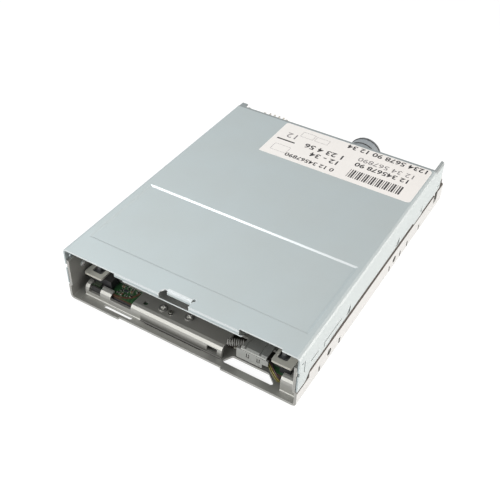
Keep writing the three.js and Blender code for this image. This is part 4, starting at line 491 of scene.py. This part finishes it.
# Painted highlight: a bright tone for the middle of the screw heads
screwHighlight = rolled((232, 232, 226), rough=0.35, metal=0.3, stretch=even)
darkSteel = rolled((120, 122, 120), rough=0.45, metal=0.85, edge=(176, 178, 176))
brightSteel = rolled((196, 196, 192), rough=0.26, metal=1.0, edge=(236, 236, 232))
motorSteel = rolled((150, 157, 161), rough=0.46, metal=0.7, edge=(186, 190, 192), stretch=even)
tin = rolled((206, 204, 196), rough=0.28, metal=1.0, stretch=even)
solder = rolled((158, 160, 150), rough=0.42, metal=0.8, edge=(190, 190, 182), stretch=even)
gold = rolled((206, 172, 96), rough=0.26, metal=1.0, stretch=even)
copper = rolled((160, 88, 46), rough=0.36, metal=0.9, edge=(200, 130, 80), stretch=(1, 1, 6), streaks=0.3, scale=2600.0)
brass = rolled((190, 158, 96), rough=0.32, metal=1.0, edge=(224, 200, 140), stretch=even)
boardGreen = moulded((30, 72, 40), rough=0.38, speckle=0.22)
boardTrack = moulded((52, 104, 56), rough=0.34, speckle=0.15)
laminate = moulded((74, 56, 40), rough=0.7, speckle=0.3, scale=2600.0)
magnet = moulded((58, 54, 52), rough=0.65, speckle=0.2)
ceramic = moulded((222, 220, 212), rough=0.25)
lampLens = moulded((46, 58, 44), rough=0.18)
blackPlastic = moulded((30, 30, 32), rough=0.52)
greyPlastic = moulded((72, 74, 76), rough=0.5)
ivoryPlastic = moulded((196, 195, 186), rough=0.48, edge=(226, 226, 218))
# Painted shade: a dark tone for the shaded recess under the cover's skirt
seamShadeTone = moulded((58, 56, 53), rough=0.7, speckle=0.3)


# A board is green with lighter tracks, and brown laminate on its cut edges
def boardMaterial(name):
    material = makeMaterial(name, boardGreen, boardTrack, trackMask, coat=0.25, dusty=0.06, bump=0.000012)
    return overlay(material, within(level=(None, 0.5)), finishSockets(material.node_tree, laminate)[0])


finishes = {
    "cover_steel": makeMaterial("coverSteel", coverSteel),
    "frame_steel": makeMaterial("frameSteel", frameSteel),
    "dark_steel": makeMaterial("darkSteel", darkSteel),
    "bright_steel": makeMaterial("brightSteel", brightSteel, dusty=0.05),
    "motor_can": makeMaterial("motorCan", motorSteel),
    "brass": makeMaterial("brass", brass),
    "copper": makeMaterial("copper", copper),
    "magnet": makeMaterial("magnet", magnet),
    "ceramic": makeMaterial("ceramic", ceramic, coat=0.4),
    "board": boardMaterial("board"),
    "black_plastic": makeMaterial("blackPlastic", blackPlastic),
    "grey_plastic": makeMaterial("greyPlastic", greyPlastic),
    "ivory_plastic": makeMaterial("ivoryPlastic", ivoryPlastic),
    "lamp": makeMaterial("lamp", lampLens, coat=0.5),
}
for name, node in nodes.items():
    node.data.materials.clear()
    node.data.materials.append(finishes[slotOf[name]])


def refinish(node, material):
    nodes[node].data.materials[0] = material


headerBlock = 2.5  # depth of the header's black block, with gold pins behind it
pins = within(depth=(boxOf("interface_header")[0][1] + headerBlock, None))
refinish("interface_header", makeMaterial("headerPins", blackPlastic, gold, pins))
refinish("slide_plate", makeMaterial("slideSteel", slideSteel))
# Painted shade: the spring takes the darker steel
refinish("eject_spring", makeMaterial("springSteel", springSteel))
# Painted highlight: the disk holder's forward-facing front faces take the lighter steel
holderFrontHighlight = within(normalY=(None, -0.6), depth=(None, 8))
refinish("disk_holder", makeMaterial("holderSteel", frameSteel, highlightSteel, holderFrontHighlight))

# The cover is painted brighter, as highlights, along its cut front, tab and rear crease, and painted darker, as shade,
# on the strip behind its label
coverFront = within(normalY=(None, -0.4), depth=(None, 4), z=(24.3, None))
tabFold = within(x=(-4.6, 5.7), z=(22.5, None), depth=(2.9, 3.9))
tabEdge = within(x=(-4.6, 5.7), z=(22.5, None), depth=(None, 0.7))
rearCrease = within(normalY=(None, -0.12), normalZ=(0.5, None), depth=(45, None))
# Painted shade: the rolled-down rear edge behind the label is darkened in colour
rearShade = dict(place=within(depth=(124.5, None), z=(24.0, None)), share=0.6, colour=(112, 118, 120))


def rearShadeShare(tree):
    return mathNode(tree, "MULTIPLY", rearShade["place"](tree), rearShade["share"])


coverEdges = makeMaterial("coverCutEdges", coverSteel, highlightSteel, anyOf(coverFront, tabFold, tabEdge, rearCrease))
refinish("top_cover", overlay(coverEdges, rearShadeShare, linear(rearShade["colour"])))

# The pan's outer walls are painted brighter as light, but for painted shade along the join under the cover's skirt, and
# painted shade deepens to the foot of its rolled bar.
# The shade's low and high levels are in metres
# Painted shade: the recess under the cover's skirt along the pan's outer walls
seamShade = anyOf(within(sizeX=(48.8, None), outward=(0.2, None), z=(9.5, 12.8), depth=(8.4, None)),
             within(sizeX=(48.8, None), outward=(0.2, None), z=(7.0, 9.2), depth=(None, 9.0)))
outerWall = within(sizeX=(48.9, None), outward=(0.3, None))
barFace = within(normalY=(None, -0.25), depth=(3.0, 4.6), x=(-19.5, 17.4))
# Painted light: the pan's outer walls are laid lighter, as where the side light falls
outerWallLight = dict(share=0.7, colour=(214, 217, 217))
# Painted shade: the face of the rolled bar is darkened towards its foot
barFootShade = dict(share=0.85, low=0.0012, high=0.0042, colour=(50, 49, 47))


def outerWallLightShare(tree):
    litShare = mathNode(tree, "SUBTRACT", outerWallLight["share"], seamShade(tree), clamp=True)
    return mathNode(tree, "MULTIPLY", outerWall(tree), litShare)


def barFootShadeShare(tree):
    slope = barFootShade["share"] / (barFootShade["high"] - barFootShade["low"])
    deepened = mathNode(tree, "MULTIPLY_ADD", axisSocket(tree, "Z"), -slope, barFootShade["high"] * slope, clamp=True)
    return mathNode(tree, "MULTIPLY", barFace(tree), deepened)


panSteel = overlay(makeMaterial("panSteel", frameSteel, seamShadeTone, seamShade), outerWallLightShare, linear(outerWallLight["colour"]))
refinish("chassis", overlay(panSteel, barFootShadeShare, linear(barFootShade["colour"])))
print("finishes assigned")


# Every piece rides on the frame. A shape is its points and its faces
def putPiece(name, shape, material, smooth=False):
    points, faces = shape
    mesh = bpy.data.meshes.new(name)
    mesh.from_pydata(np.reshape(points, (-1, 3)).tolist(), [], faces)
    mesh.materials.append(material)
    if smooth:
        mesh.shade_smooth()
    piece = bpy.data.objects.new(name, mesh)
    bpy.context.scene.collection.objects.link(piece)
    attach(piece, "body_frame")
    return piece


# Bars: each centre plus or minus its half sizes at eight corners
cornerSigns = np.array([(x, y, z) for z in (-1, 1) for y in (-1, 1) for x in (-1, 1)], float)
cornerFaces = np.array([(0, 2, 3, 1), (4, 5, 7, 6), (0, 1, 5, 4), (2, 6, 7, 3), (0, 4, 6, 2), (1, 3, 7, 5)])


def barPoints(centres, halves):
    points = np.array(centres)[:, None] + np.array(halves)[:, None] * cornerSigns
    faces = cornerFaces + 8 * np.arange(len(centres))[:, None, None]
    return metres(points), faces.reshape(-1, 4).tolist()


# Rings carried along paths: squares between neighbouring rings, from point numbers counted as path, step along it and
# place round the ring. Seen along its path a ring runs anticlockwise, so that the squares face outwards
def ringFaces(index):
    after = np.roll(index, -1, axis=2)
    return np.stack([index[:, :-1], index[:, 1:], after[:, 1:], after[:, :-1]], -1).reshape(-1, 4).tolist()


# The same with a flat cap on both ends
def cappedShape(points):
    index = np.arange(points[..., 0].size).reshape(points.shape[:3])
    return metres(points), ringFaces(index) + np.concatenate([index[:, 0], index[:, -1, ::-1]]).tolist()


def unit(vectors):
    return vectors / np.linalg.norm(vectors, axis=-1, keepdims=True)


def roundTurn(sides):
    return np.linspace(0, 2 * math.pi, sides, endpoint=False)


# Tube: a circle of the given radius carried square to its path
def tubePoints(path, radius, sides, upright):
    along = unit(np.gradient(path, axis=0))
    across = unit(np.cross(along, upright))
    rise = np.cross(across, along)
    turn = roundTurn(sides)[:, None]
    ring = across[:, None] * np.cos(turn) + rise[:, None] * np.sin(turn)
    return cappedShape((path[:, None] + radius * ring)[None])


# Strips: a flat rectangle carried along each path, its width lying along one fixed direction
def stripPoints(paths, halfWidth, halfThick, side=(1, 0, 0)):
    rise = unit(np.cross(side, unit(np.gradient(paths, axis=1))))
    wide, thick = np.array([(-1, -1), (1, -1), (1, 1), (-1, 1)]).T[:, :, None]
    return cappedShape(paths[:, :, None] + halfWidth * wide * side + halfThick * thick * rise[:, :, None])


# Joins shapes into one, with each shape's point numbers moved on by the points before it
def joined(shapes):
    points, faces, count = [], [], 0
    for some, their in shapes:
        some = np.reshape(some, (-1, 3))
        points.append(some)
        faces += [[corner + count for corner in face] for face in their]
        count += len(some)
    return np.concatenate(points), faces


# Rounded rectangle: a quarter circle at each corner, from the front left one round to the rear left
def roundedOutline(left, right, front, back, corners, steps=6):
    centres = [(left, front, 1, 1, math.pi), (right, front, -1, 1, 1.5 * math.pi),
               (right, back, -1, -1, 0), (left, back, 1, -1, 0.5 * math.pi)]
    points = []
    for (x, y, inX, inY, start), radius in zip(centres, corners):
        turn = start + np.linspace(0, math.pi / 2, steps)
        points.append(np.stack([x + inX * radius + radius * np.cos(turn), y + inY * radius + radius * np.sin(turn)], 1))
    return np.concatenate(points)


# A flat plate: the outline at two heights, joined by its sides
def platePoints(outline, low, high):
    count = len(outline)
    points = np.concatenate([np.column_stack([outline, np.full(count, z)]) for z in (low, high)])
    index = np.arange(count)
    after = np.roll(index, -1)
    sides = np.stack([index, after, after + count, index + count], 1).tolist()
    return metres(points), sides + [list(range(count - 1, -1, -1)), list(range(count, 2 * count))]


# Rounded boxes: a lattice of four steps on each side. The two inner steps stand on the flat faces of an inner box, and
# each point moves out from it by the radius, along the direction of the outer steps that it has
latticeSteps = np.stack(np.meshgrid(range(4), range(4), range(4), indexing="ij"), -1).reshape(-1, 3)
onSkin = ((latticeSteps == 0) | (latticeSteps == 3)).any(1)
skinSteps = latticeSteps[onSkin]
skinInner = np.where(skinSteps < 2, -1.0, 1.0)
skinOuter = unit(np.where(skinSteps == 0, -1.0, np.where(skinSteps == 3, 1.0, 0.0)))


def skinFaces():
    order = np.full(onSkin.size, -1)
    order[onSkin] = np.arange(onSkin.sum())
    grid = order.reshape(4, 4, 4)
    faces = []
    for axis in range(3):
        for side in (0, 3):
            skin = np.take(grid, side, axis=axis)
            quads = np.stack([skin[:-1, :-1], skin[1:, :-1], skin[1:, 1:], skin[:-1, 1:]], -1).reshape(-1, 4)
            faces.append(quads if (side == 3) == (axis != 1) else quads[:, ::-1])
    return np.concatenate(faces)


def roundedPoints(centres, halves, radius):
    centres = np.atleast_2d(np.array(centres, float))
    halves = np.broadcast_to(np.array(halves, float), centres.shape)
    points = centres[:, None] + skinInner * (halves - radius)[:, None] + skinOuter * radius
    faces = skinFaces()[None] + len(skinSteps) * np.arange(len(centres))[:, None, None]
    return metres(points), faces.reshape(-1, 4).tolist()


# Turned shapes: a profile of radius and height, from the top of the axis out and down to its foot, carried round the
# axis. A dip, a function of the place across the axis, is taken off the heights above a level
def turnedPoints(profile, centre, dip, level, upsideDown, sides=40):
    radius, height = np.array(profile[1:-1], float).T[:, :, None]
    x, y = radius * np.cos(roundTurn(sides)), radius * np.sin(roundTurn(sides))
    z = height - dip(x, y) * (height > level)
    poles = [(0, 0, profile[0][1] - dip(0.0, 0.0)), (0, 0, profile[-1][1])]
    points = np.concatenate([np.stack([x, y, z], -1).reshape(-1, 3), poles])
    index = np.arange(x.size).reshape(1, *x.shape)
    after = np.roll(index, -1, axis=2)
    top, foot = x.size, x.size + 1
    fans = np.column_stack([np.full(sides, top), index[0, 0], after[0, 0]]).tolist()
    fans += np.column_stack([np.full(sides, foot), after[0, -1], index[0, -1]]).tolist()
    turned = points * (1, -1, -1) if upsideDown else points
    return metres(turned + centre), ringFaces(index) + fans


# Hoops: a circle of wire carried round a larger circle, whose axis runs from front to back
def hoopPoints(centre, radius, wire, sides=64, around=8):
    turn, roll = roundTurn(sides)[:, None], roundTurn(around)
    reach = radius + wire * np.cos(roll)
    points = np.stack([reach * np.cos(turn), -wire * np.sin(roll) + 0 * turn, reach * np.sin(turn)], -1)
    index = np.arange(sides * around).reshape(1, sides, around)
    return metres(points + centre), ringFaces(np.concatenate([index, index[:, :1]], axis=1))


# Screws: a low dome with a cross-shaped dip, a painted highlight near its middle, an even rim and a plain shank
screws = dict(head=1.85, headHeight=0.7, dome=0.22, domeShare=0.94, rings=18, rim=0.308, dipFloor=-0.4, bevel=0.06,
              shank=0.88, point=0.25, worn=0.8, turn=0.5, nextTurn=0.7,
              cross=dict(half=0.26, reach=1.2, depth=0.42, soft=0.1),
              up=[("motor_screw_1", 2.3), ("motor_screw_2", 2.3), ("motor_screw_3", 2.3), ("motor_screw_4", 2.3),
                  ("bracket_screw_1", 0.85), ("bracket_screw_2", 0.85)],
              down=[("board_screw_1", 2.2), ("board_screw_2", 2.2), ("board_screw_3", 2.2)])


def crossDip(angle):
    cross = screws["cross"]

    def dip(x, y):
        u = np.abs(x * math.cos(angle) + y * math.sin(angle))
        v = np.abs(y * math.cos(angle) - x * math.sin(angle))
        inside = np.clip((cross["half"] - np.minimum(u, v)) / cross["soft"] + 0.5, 0, 1)
        reached = np.clip((cross["reach"] - np.maximum(u, v)) / cross["soft"] + 0.5, 0, 1)
        return cross["depth"] * inside * reached
    return dip


def makeScrew(name, length, side, turn):
    head, deep, shank, bevel = (screws[key] for key in ("head", "headHeight", "shank", "bevel"))
    low, high = boxOf(name)
    centre = (low + high) / 2
    steel = makeMaterial(name + "Steel", screwSteel, screwHighlight, nearAxis(centre, screws["worn"]), dusty=0.05)
    centre[2] = high[2] if side == "up" else low[2]
    profile = [(head * part, -screws["dome"] * part ** 2)
               for part in np.linspace(0, screws["domeShare"], screws["rings"])]
    profile += [(head, -screws["rim"]), (head, bevel - deep), (head - bevel, -deep), (shank, -deep),
                (shank, screws["point"] - deep - length), (shank - screws["point"], -deep - length),
                (0, -deep - length)]
    dip = crossDip(screws["turn"] + screws["nextTurn"] * turn)
    shape = turnedPoints(profile, centre, dip, screws["dipFloor"], side == "down")
    piece = putPiece(name + "_turned", shape, steel)
    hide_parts(name)


for side in ("up", "down"):
    for turn, (name, length) in enumerate(screws[side]):
        makeScrew(name, length, side, turn)
print("screws turned")

# Chip leads: each leaves the body halfway up, bends down to the board and ends in a flat foot. The bend is how far out
# each point of a lead lies
chips = [
    dict(name="main_chip_leads", node="main_chip", sides="xy", count=15, pitch=0.68, foot=2.24, half=0.14),
    dict(name="stepper_chip_leads", node="stepper_driver_chip", sides="y", count=8, pitch=1.1, foot=2.24, half=0.2),
    dict(name="motor_chip_leads", node="motor_driver_chip", sides="x", count=11, pitch=0.8, foot=3.86, half=0.17),
]
chipLead = dict(bend=(-0.2, 0.3, 0.45, 0.6, 1.15), halfThick=0.05)


# Places at an even pitch, centred on 0
def evenly(count, pitch):
    return (np.arange(count) - (count - 1) / 2) * pitch


def makeChipLeads(chip):
    low, high = boxOf(chip["node"])
    middle = (low + high) / 2
    foot, start = chip["foot"], middle[2]
    out = np.array(chipLead["bend"])
    along = evenly(chip["count"], chip["pitch"])
    shapes = []
    for axis in chip["sides"]:
        across = "xy".index(axis)
        for sign, edge in ((-1, low[across]), (1, high[across])):
            paths = np.empty((chip["count"], len(out), 3))
            paths[..., across] = edge + sign * out
            paths[..., 1 - across] = middle[1 - across] + along[:, None]
            paths[..., 2] = (start, start, (start + foot) / 2, foot, foot)
            shapes.append(stripPoints(paths, chip["half"], chipLead["halfThick"], (across, 1 - across, 0)))
    putPiece(chip["name"], joined(shapes), tinMaterial)


tinMaterial = makeMaterial("tin", tin, dusty=0.05)
solderMaterial = makeMaterial("solder", solder, dusty=0.05)
for chip in chips:
    makeChipLeads(chip)
print("chip leads made")

# Small parts on the boards: a body and two tinned ends, at given spots (x, depth, turned, kind), or on a jittered grid
# with places left free
boardParts = dict(
    resistor=dict(body=(0.5, 0.34, 0.22), colour=(34, 33, 34)),
    capacitor=dict(body=(0.6, 0.42, 0.38), colour=(104, 86, 64)),
    array=dict(body=(1.0, 0.5, 0.3), colour=(38, 46, 50)),
    gap=0.02, rounding=0.1, ends=dict(half=0.2, wider=0.03, higher=0.02, rounding=0.08),
    grid=dict(x=3.1, y=2.7, jitterX=0.35, jitterY=0.3), spindle=46,
    window=dict(z=4.9, sign=1, spots=[
        (-33.0, 8.2, 0, "resistor"), (-31.2, 8.0, 1, "capacitor"), (-29.3, 8.3, 0, "resistor"),
        (-27.6, 9.0, 1, "resistor"), (-32.6, 9.9, 1, "resistor"), (-30.7, 10.2, 0, "array"),
        (-28.4, 10.9, 0, "capacitor"), (-33.0, 11.8, 0, "capacitor"), (-30.9, 12.0, 1, "resistor"),
        (-29.0, 12.4, 0, "resistor"), (-26.6, 12.2, 1, "resistor")]),
    mainTop=dict(left=-42, right=42, front=86, back=125, z=2.2, sign=1, keep=0.62, seed=3, disk=0,
                 free=[(-25, -7, 88, 108), (16, 32, 97, 111), (-46, -27, 123, 140), (-29, -19, 117, 125),
                       (36, 44, 79, 87), (-44, -36, 79, 87)]),
    motorUnder=dict(left=-42, right=42, front=10, back=72, z=3.9, sign=-1, keep=0.34, seed=5, disk=27.5,
                    free=[(28, 41, 25, 41), (-17, 3, 6, 14), (-35, -27, 65, 74), (28, 36, 66, 75)]),
)
partKinds = ("resistor", "capacitor", "array")


def gridSpots(area):
    random = np.random.default_rng(area["seed"])
    grid = boardParts["grid"]
    x, y = (places.ravel() for places in np.meshgrid(np.arange(area["left"], area["right"], grid["x"]),
                                                     np.arange(area["front"], area["back"], grid["y"])))
    x = x + random.uniform(-grid["jitterX"], grid["jitterX"], x.size)
    y = y + random.uniform(-grid["jitterY"], grid["jitterY"], x.size)
    kept = random.random(x.size) < area["keep"]
    for left, right, front, back in area["free"]:
        kept &= ~((x > left) & (x < right) & (y > front) & (y < back))
    kept &= np.hypot(x, y - boardParts["spindle"]) > area["disk"]
    turned = random.integers(0, 2, x.size)
    kind = random.choice(["resistor", "resistor", "capacitor", "array"], x.size)
    return [spot for spot, keep in zip(zip(x, y, turned, kind), kept) if keep]


def makeBoardParts(name, area):
    spots = area["spots"] if "spots" in area else gridSpots(area)
    end, ends = boardParts["ends"], []
    for kind in partKinds:
        halfLong, halfWide, halfHigh = boardParts[kind]["body"]
        own = np.array([(x, y, turned) for x, y, turned, its in spots if its == kind], float)
        turned = own[:, 2:]
        along = np.hstack([1 - turned, turned, 0 * turned])
        aside = np.hstack([turned, 1 - turned, 0 * turned])
        middle = area["z"] + area["sign"] * (halfHigh + boardParts["gap"])
        centres = np.column_stack([own[:, :2], np.full(len(own), middle)])
        halves = along * halfLong + aside * halfWide + (0, 0, halfHigh)
        body = makeMaterial(name + kind, moulded(boardParts[kind]["colour"], rough=0.4, speckle=0.15), dusty=0.05)
        shape = roundedPoints(centres, halves, boardParts["rounding"])
        putPiece(name + "_" + kind + "s", shape, body)
        halves = along * end["half"] + aside * (halfWide + end["wider"]) + (0, 0, halfHigh + end["higher"])
        for side in (-1, 1):
            ends.append(roundedPoints(centres + side * along * halfLong, halves, end["rounding"]))
    putPiece(name + "_ends", joined(ends), solderMaterial)


for name, key in (("window_parts", "window"), ("main_board_parts", "mainTop"), ("motor_board_parts", "motorUnder")):
    makeBoardParts(name, boardParts[key])

# Solder joints under the main board: low cones whose side curves in, one under each pin and some between. The profile
# is shares of the radius and of the height
joints = dict(radius=0.72, height=0.5, low=1.0, sides=10, profile=[(1.0, 0.0), (0.62, 0.14), (0.4, 0.5), (0.26, 1.0)],
              columns=17, pitch=2.54, middle=3.0, rows=(129.6, 132.1),
              power=dict(left=-40.2, pitch=2.6, count=4, y=131.0),
              loose=dict(count=70, seed=11, columns=(-15, 16), rows=(33, 49), shift=2.0, back=126, clear=3.5,
                         free=[(-40, 82.9), (40, 82.9), (-24, 121)]))


def makeSolder():
    columns = joints["middle"] + evenly(joints["columns"], joints["pitch"])
    spots = [np.column_stack([columns, np.full(columns.size, y)]) for y in joints["rows"]]
    power, loose = joints["power"], joints["loose"]
    x = power["left"] + power["pitch"] * np.arange(power["count"])
    spots.append(np.column_stack([x, np.full(x.size, power["y"])]))
    random = np.random.default_rng(loose["seed"])
    grid = np.stack(np.meshgrid(np.arange(*loose["columns"]), np.arange(*loose["rows"])), -1).reshape(-1, 2)
    scattered = random.permutation(grid)[:loose["count"]] * joints["pitch"] + (0, loose["shift"])
    clear = np.min([np.hypot(*(scattered - place).T) for place in loose["free"]], 0)
    spots.append(scattered[(clear > loose["clear"]) & (scattered[:, 1] < loose["back"])])
    spots = np.concatenate(spots)
    share, level = np.array(joints["profile"]).T[:, :, None]
    turn = roundTurn(joints["sides"])
    ring = np.stack([share * np.cos(turn) * joints["radius"], share * np.sin(turn) * joints["radius"],
                     joints["low"] - level * joints["height"] + 0 * turn], -1)
    points = np.column_stack([spots, np.zeros(len(spots))])[:, None, None] + ring
    putPiece("solder_joints", cappedShape(points), solderMaterial)


makeSolder()
print("board parts made")

# Window in the deck: a brown band on the edge of the board, and under it a dark grey plate, painted shade standing in
# for the shaded face below the window
band = dict(line=[(-35.0, 6.3), (-33.0, 6.35), (-30.8, 6.6), (-28.6, 7.3), (-26.9, 8.6), (-25.9, 10.3), (-25.5, 12.4)],
            half=0.42, low=4.91, high=5.08, finish=moulded((84, 54, 38), rough=0.3))
shadePlate = dict(middle=(-29.6, 6.35, 2.5), half=(5.4, 0.25, 1.35), rounding=0.2, finish=moulded((84, 84, 88), rough=0.55))


# The band is its line moved to both sides along its own normal, between two heights
def makeWindow():
    line = np.array(band["line"])
    along = unit(np.gradient(line, axis=0))
    aside = np.column_stack([-along[:, 1], along[:, 0]]) * band["half"]
    shape = platePoints(np.concatenate([line - aside, (line + aside)[::-1]]), band["low"], band["high"])
    putPiece("board_edge_film", shape, makeMaterial("brownFilm", band["finish"], coat=0.3))
    shape = roundedPoints(shadePlate["middle"], shadePlate["half"], shadePlate["rounding"])
    putPiece("window_shield", shape, makeMaterial("shieldGrey", shadePlate["finish"]))


makeWindow()

# Dark films and blocks: behind the gap for the button, a dark film whose dark also stands in for shade; in the slit of
# the front flange, a black block of painted shade; and the holder of the lamp. A row is a middle and its half sizes
darkFilm = makeMaterial("darkFilm", moulded((46, 36, 31), rough=0.42), coat=0.2)
holderBlack = makeMaterial("holderBlack", moulded((26, 26, 28), rough=0.55))
liners = [
    # Partly painted shade: the film's dark also stands in for the shade under the drive, seen through the button gap
    dict(name="insulation_film", rows=[(30.0, 16.0, 1.12, 15.5, 5.6, 0.1)], rounding=0.09, material=darkFilm),
    # Painted shade: a black block in the slit, where only shade shows
    dict(name="slit_liner", rows=[(-4.0, 3.45, 0.3, 12.9, 0.24, 0.24)], rounding=0.05, material=holderBlack),
    dict(name="lamp_holder", rows=[(-41.7, 5.45, 4.3, 2.3, 0.5, 1.3), (-41.7, 7.4, 5.35, 2.4, 0.7, 0.4)],
         rounding=0.2, material=holderBlack),
]
for liner in liners:
    rows = np.array(liner["rows"])
    shape = roundedPoints(rows[:, :3], rows[:, 3:], liner["rounding"])
    putPiece(liner["name"], shape, liner["material"])

# Three leads from the right switch: over the front of the board, down and back under it
leads = dict(path=[(34.6, 8.6, 5.35), (36.4, 7.2, 5.3), (37.9, 6.0, 5.05), (39.3, 5.25, 4.4), (40.5, 4.95, 3.5),
                   (41.3, 5.2, 2.7), (41.8, 6.2, 2.25), (42.0, 8.5, 2.2), (42.1, 12.0, 2.5), (42.1, 15.5, 3.3),
                   (42.1, 17.0, 3.85)], steps=8, radius=0.27, sides=10, upright=(1, 0, 0.2), gap=0.62,
             aside=(0.45, 0.85, 0.12), colours=[(112, 106, 50), (150, 138, 66), (84, 56, 62)])


# A smooth curve through the points: each stretch is a cubic whose slopes are half the step between its neighbours
def smoothPath(points, steps):
    points = np.array(points, float)
    slopes = np.gradient(points, axis=0)
    share = np.linspace(0, 1, steps, endpoint=False)[:, None, None]
    before, after = points[:-1], points[1:]
    curve = ((2 * share ** 3 - 3 * share ** 2 + 1) * before + (share ** 3 - 2 * share ** 2 + share) * slopes[:-1]
             + (3 * share ** 2 - 2 * share ** 3) * after + (share ** 3 - share ** 2) * slopes[1:])
    return np.concatenate([curve.transpose(1, 0, 2).reshape(-1, 3), points[-1:]])


def makeLeads():
    middle = smoothPath(leads["path"], leads["steps"])
    for number, colour in enumerate(leads["colours"]):
        sheath = makeMaterial("lead" + str(number), moulded(colour, rough=0.4), coat=0.2)
        path = middle + np.array(leads["aside"]) * (number - 1) * leads["gap"]
        shape = tubePoints(path, leads["radius"], leads["sides"], leads["upright"])
        putPiece("switch_lead_" + str(number + 1), shape, sheath, smooth=True)


makeLeads()

# Stepper motor: two seams round its can, and a brown tail with four copper lines, down to the main board
stepper = dict(seams=[(13.2, 134.6, 15.8, 7.62), (13.2, 130.4, 15.8, 7.62)], wire=0.26,
               seamDark=moulded((52, 53, 54), rough=0.5), film=moulded((126, 70, 34), rough=0.28),
               tail=[(13.2, 126.9, 8.6), (13.2, 127.15, 7.4), (13.2, 127.15, 5.6), (13.2, 127.0, 4.0),
                     (13.2, 126.5, 2.9), (13.2, 125.4, 2.4), (13.2, 123.8, 2.35)], steps=4,
               half=3.0, halfThick=0.08, lines=dict(count=4, pitch=1.4, half=0.35, halfThick=0.1))


def makeStepperParts():
    seams = [hoopPoints((x, y, z), radius, stepper["wire"]) for x, y, z, radius in stepper["seams"]]
    putPiece("stepper_seams", joined(seams), makeMaterial("seamDark", stepper["seamDark"]), smooth=True)
    path = smoothPath(stepper["tail"], stepper["steps"])
    tail = stripPoints(path[None], stepper["half"], stepper["halfThick"])
    putPiece("stepper_tail", tail, makeMaterial("tailFilm", stepper["film"], coat=0.4))
    lines = stepper["lines"]
    paths = np.array([path + (x, 0, 0) for x in evenly(lines["count"], lines["pitch"])])
    copperLines = stripPoints(paths, lines["half"], lines["halfThick"])
    putPiece("stepper_tail_lines", copperLines, makeMaterial("tailCopper", copper))


makeStepperParts()
print("small parts made")

# Label on the cover: paper with rounded corners, read from the rear. Paper and ink lie on the cover in thin layers
label = dict(left=-22.9, right=49.0, front=97.5, back=124.2, corners=(0.5, 1.8, 1.8, 1.2), low=25.402, high=25.44,
             halfInk=0.003, squash=0.9, curveSteps=3,
             paper=moulded((246, 245, 242), rough=0.55, edge=(250, 249, 247), speckle=0.03, scale=3200.0),
             ink=dict(colour=(28, 26, 28), bold=0.022), paleInk=dict(colour=(112, 110, 112), bold=0.0),
             bars=dict(left=18.6, right=43.0, middle=103.45, half=3.05, count=24, thin=0.1429, wider=0.1286),
             rule=dict(middle=(-16.3, 110.7), half=(4.5, 0.45)),
             frames=[(-19.2, -11.4, 101.4, 106.4), (-12.4, -6.2, 117.2, 121.2), (-5.2, 1.2, 117.2, 120.6)], line=0.07,
             rows=[("1234 5678 90 12 34", 9.4, 47.2, 121.9, "ink"), ("12 34 567890", 17.8, 43.6, 115.2, "paleInk"),
                   ("12 345678 90", 18.1, 42.8, 110.9, "ink"), ("1 23 4 56", -7.2, 11.6, 111.9, "ink"),
                   ("12 - 34", -2.0, 11.4, 107.0, "ink"), ("0 12 34567890", -11.4, 12.4, 101.2, "ink"),
                   ("12", -18.1, -13.4, 115.3, "paleInk")])


# Plain numbers as a flat mesh, stretched to the row's width and turned to read from the rear
def numberPoints(text, left, right, middle, bold):
    curve = bpy.data.curves.new("numbers", "FONT")
    curve.body = text
    curve.resolution_u = label["curveSteps"]
    curve.offset = bold
    holder = bpy.data.objects.new("numbers", curve)
    bpy.context.scene.collection.objects.link(holder)
    bpy.context.view_layer.update()
    mesh = bpy.data.meshes.new_from_object(holder.evaluated_get(bpy.context.evaluated_depsgraph_get()))
    flat = np.empty(len(mesh.vertices) * 3)
    mesh.vertices.foreach_get("co", flat)
    flat = flat.reshape(-1, 3)
    faces = [list(face.vertices) for face in mesh.polygons]
    bpy.data.objects.remove(holder)
    bpy.data.curves.remove(curve)
    bpy.data.meshes.remove(mesh)
    lowest, highest = flat.min(0), flat.max(0)
    shape = (flat - (lowest + highest) / 2) / (highest[0] - lowest[0]) * (right - left)
    x = (left + right) / 2 - shape[:, 0]
    y = middle - shape[:, 1] * label["squash"]
    return metres(np.column_stack([x, y, np.full(len(x), label["high"] + 2 * label["halfInk"])])), faces


# Inked rectangles: rows of middle x, middle y, half width and half depth
def inkBars(rows):
    rows = np.array(rows, float)
    half = np.full(len(rows), label["halfInk"])
    return barPoints(np.column_stack([rows[:, :2], label["high"] + half]), np.column_stack([rows[:, 2:], half]))


# An empty frame: four thin bars along its sides
def frameBars(left, right, front, back):
    x, y, line = (left + right) / 2, (front + back) / 2, label["line"]
    across, along = (right - left) / 2, (back - front) / 2
    return inkBars([(x, front, across, line), (x, back, across, line), (left, y, line, along), (right, y, line, along)])


# A row of bars at an even pitch, of three widths in turn
def codeBars():
    bars = label["bars"]
    count = bars["count"]
    x = np.linspace(bars["left"], bars["right"], count * 2)[::2]
    widths = bars["thin"] + bars["wider"] * (np.arange(count) % 3)
    return inkBars(np.column_stack([x, np.full(count, bars["middle"]), widths, np.full(count, bars["half"])]))


def makeLabel():
    outline = roundedOutline(label["left"], label["right"], label["front"], label["back"], label["corners"])
    paper = makeMaterial("labelPaper", label["paper"], dusty=0.05)
    putPiece("label_paper", platePoints(outline, label["low"], label["high"]), paper)
    forms = dict(ink=[codeBars(), inkBars([label["rule"]["middle"] + label["rule"]["half"]])],
                 paleInk=[frameBars(*frame) for frame in label["frames"]])
    for key, bars in forms.items():
        finish = moulded(label[key]["colour"], rough=0.6, speckle=0.2, scale=4200.0)
        shapes = [numberPoints(text, left, right, middle, label[key]["bold"])
                  for text, left, right, middle, ink in label["rows"] if ink == key]
        putPiece("label_" + key.lower(), joined(shapes + bars), makeMaterial(key, finish, dusty=0.0))


makeLabel()
print("label made")
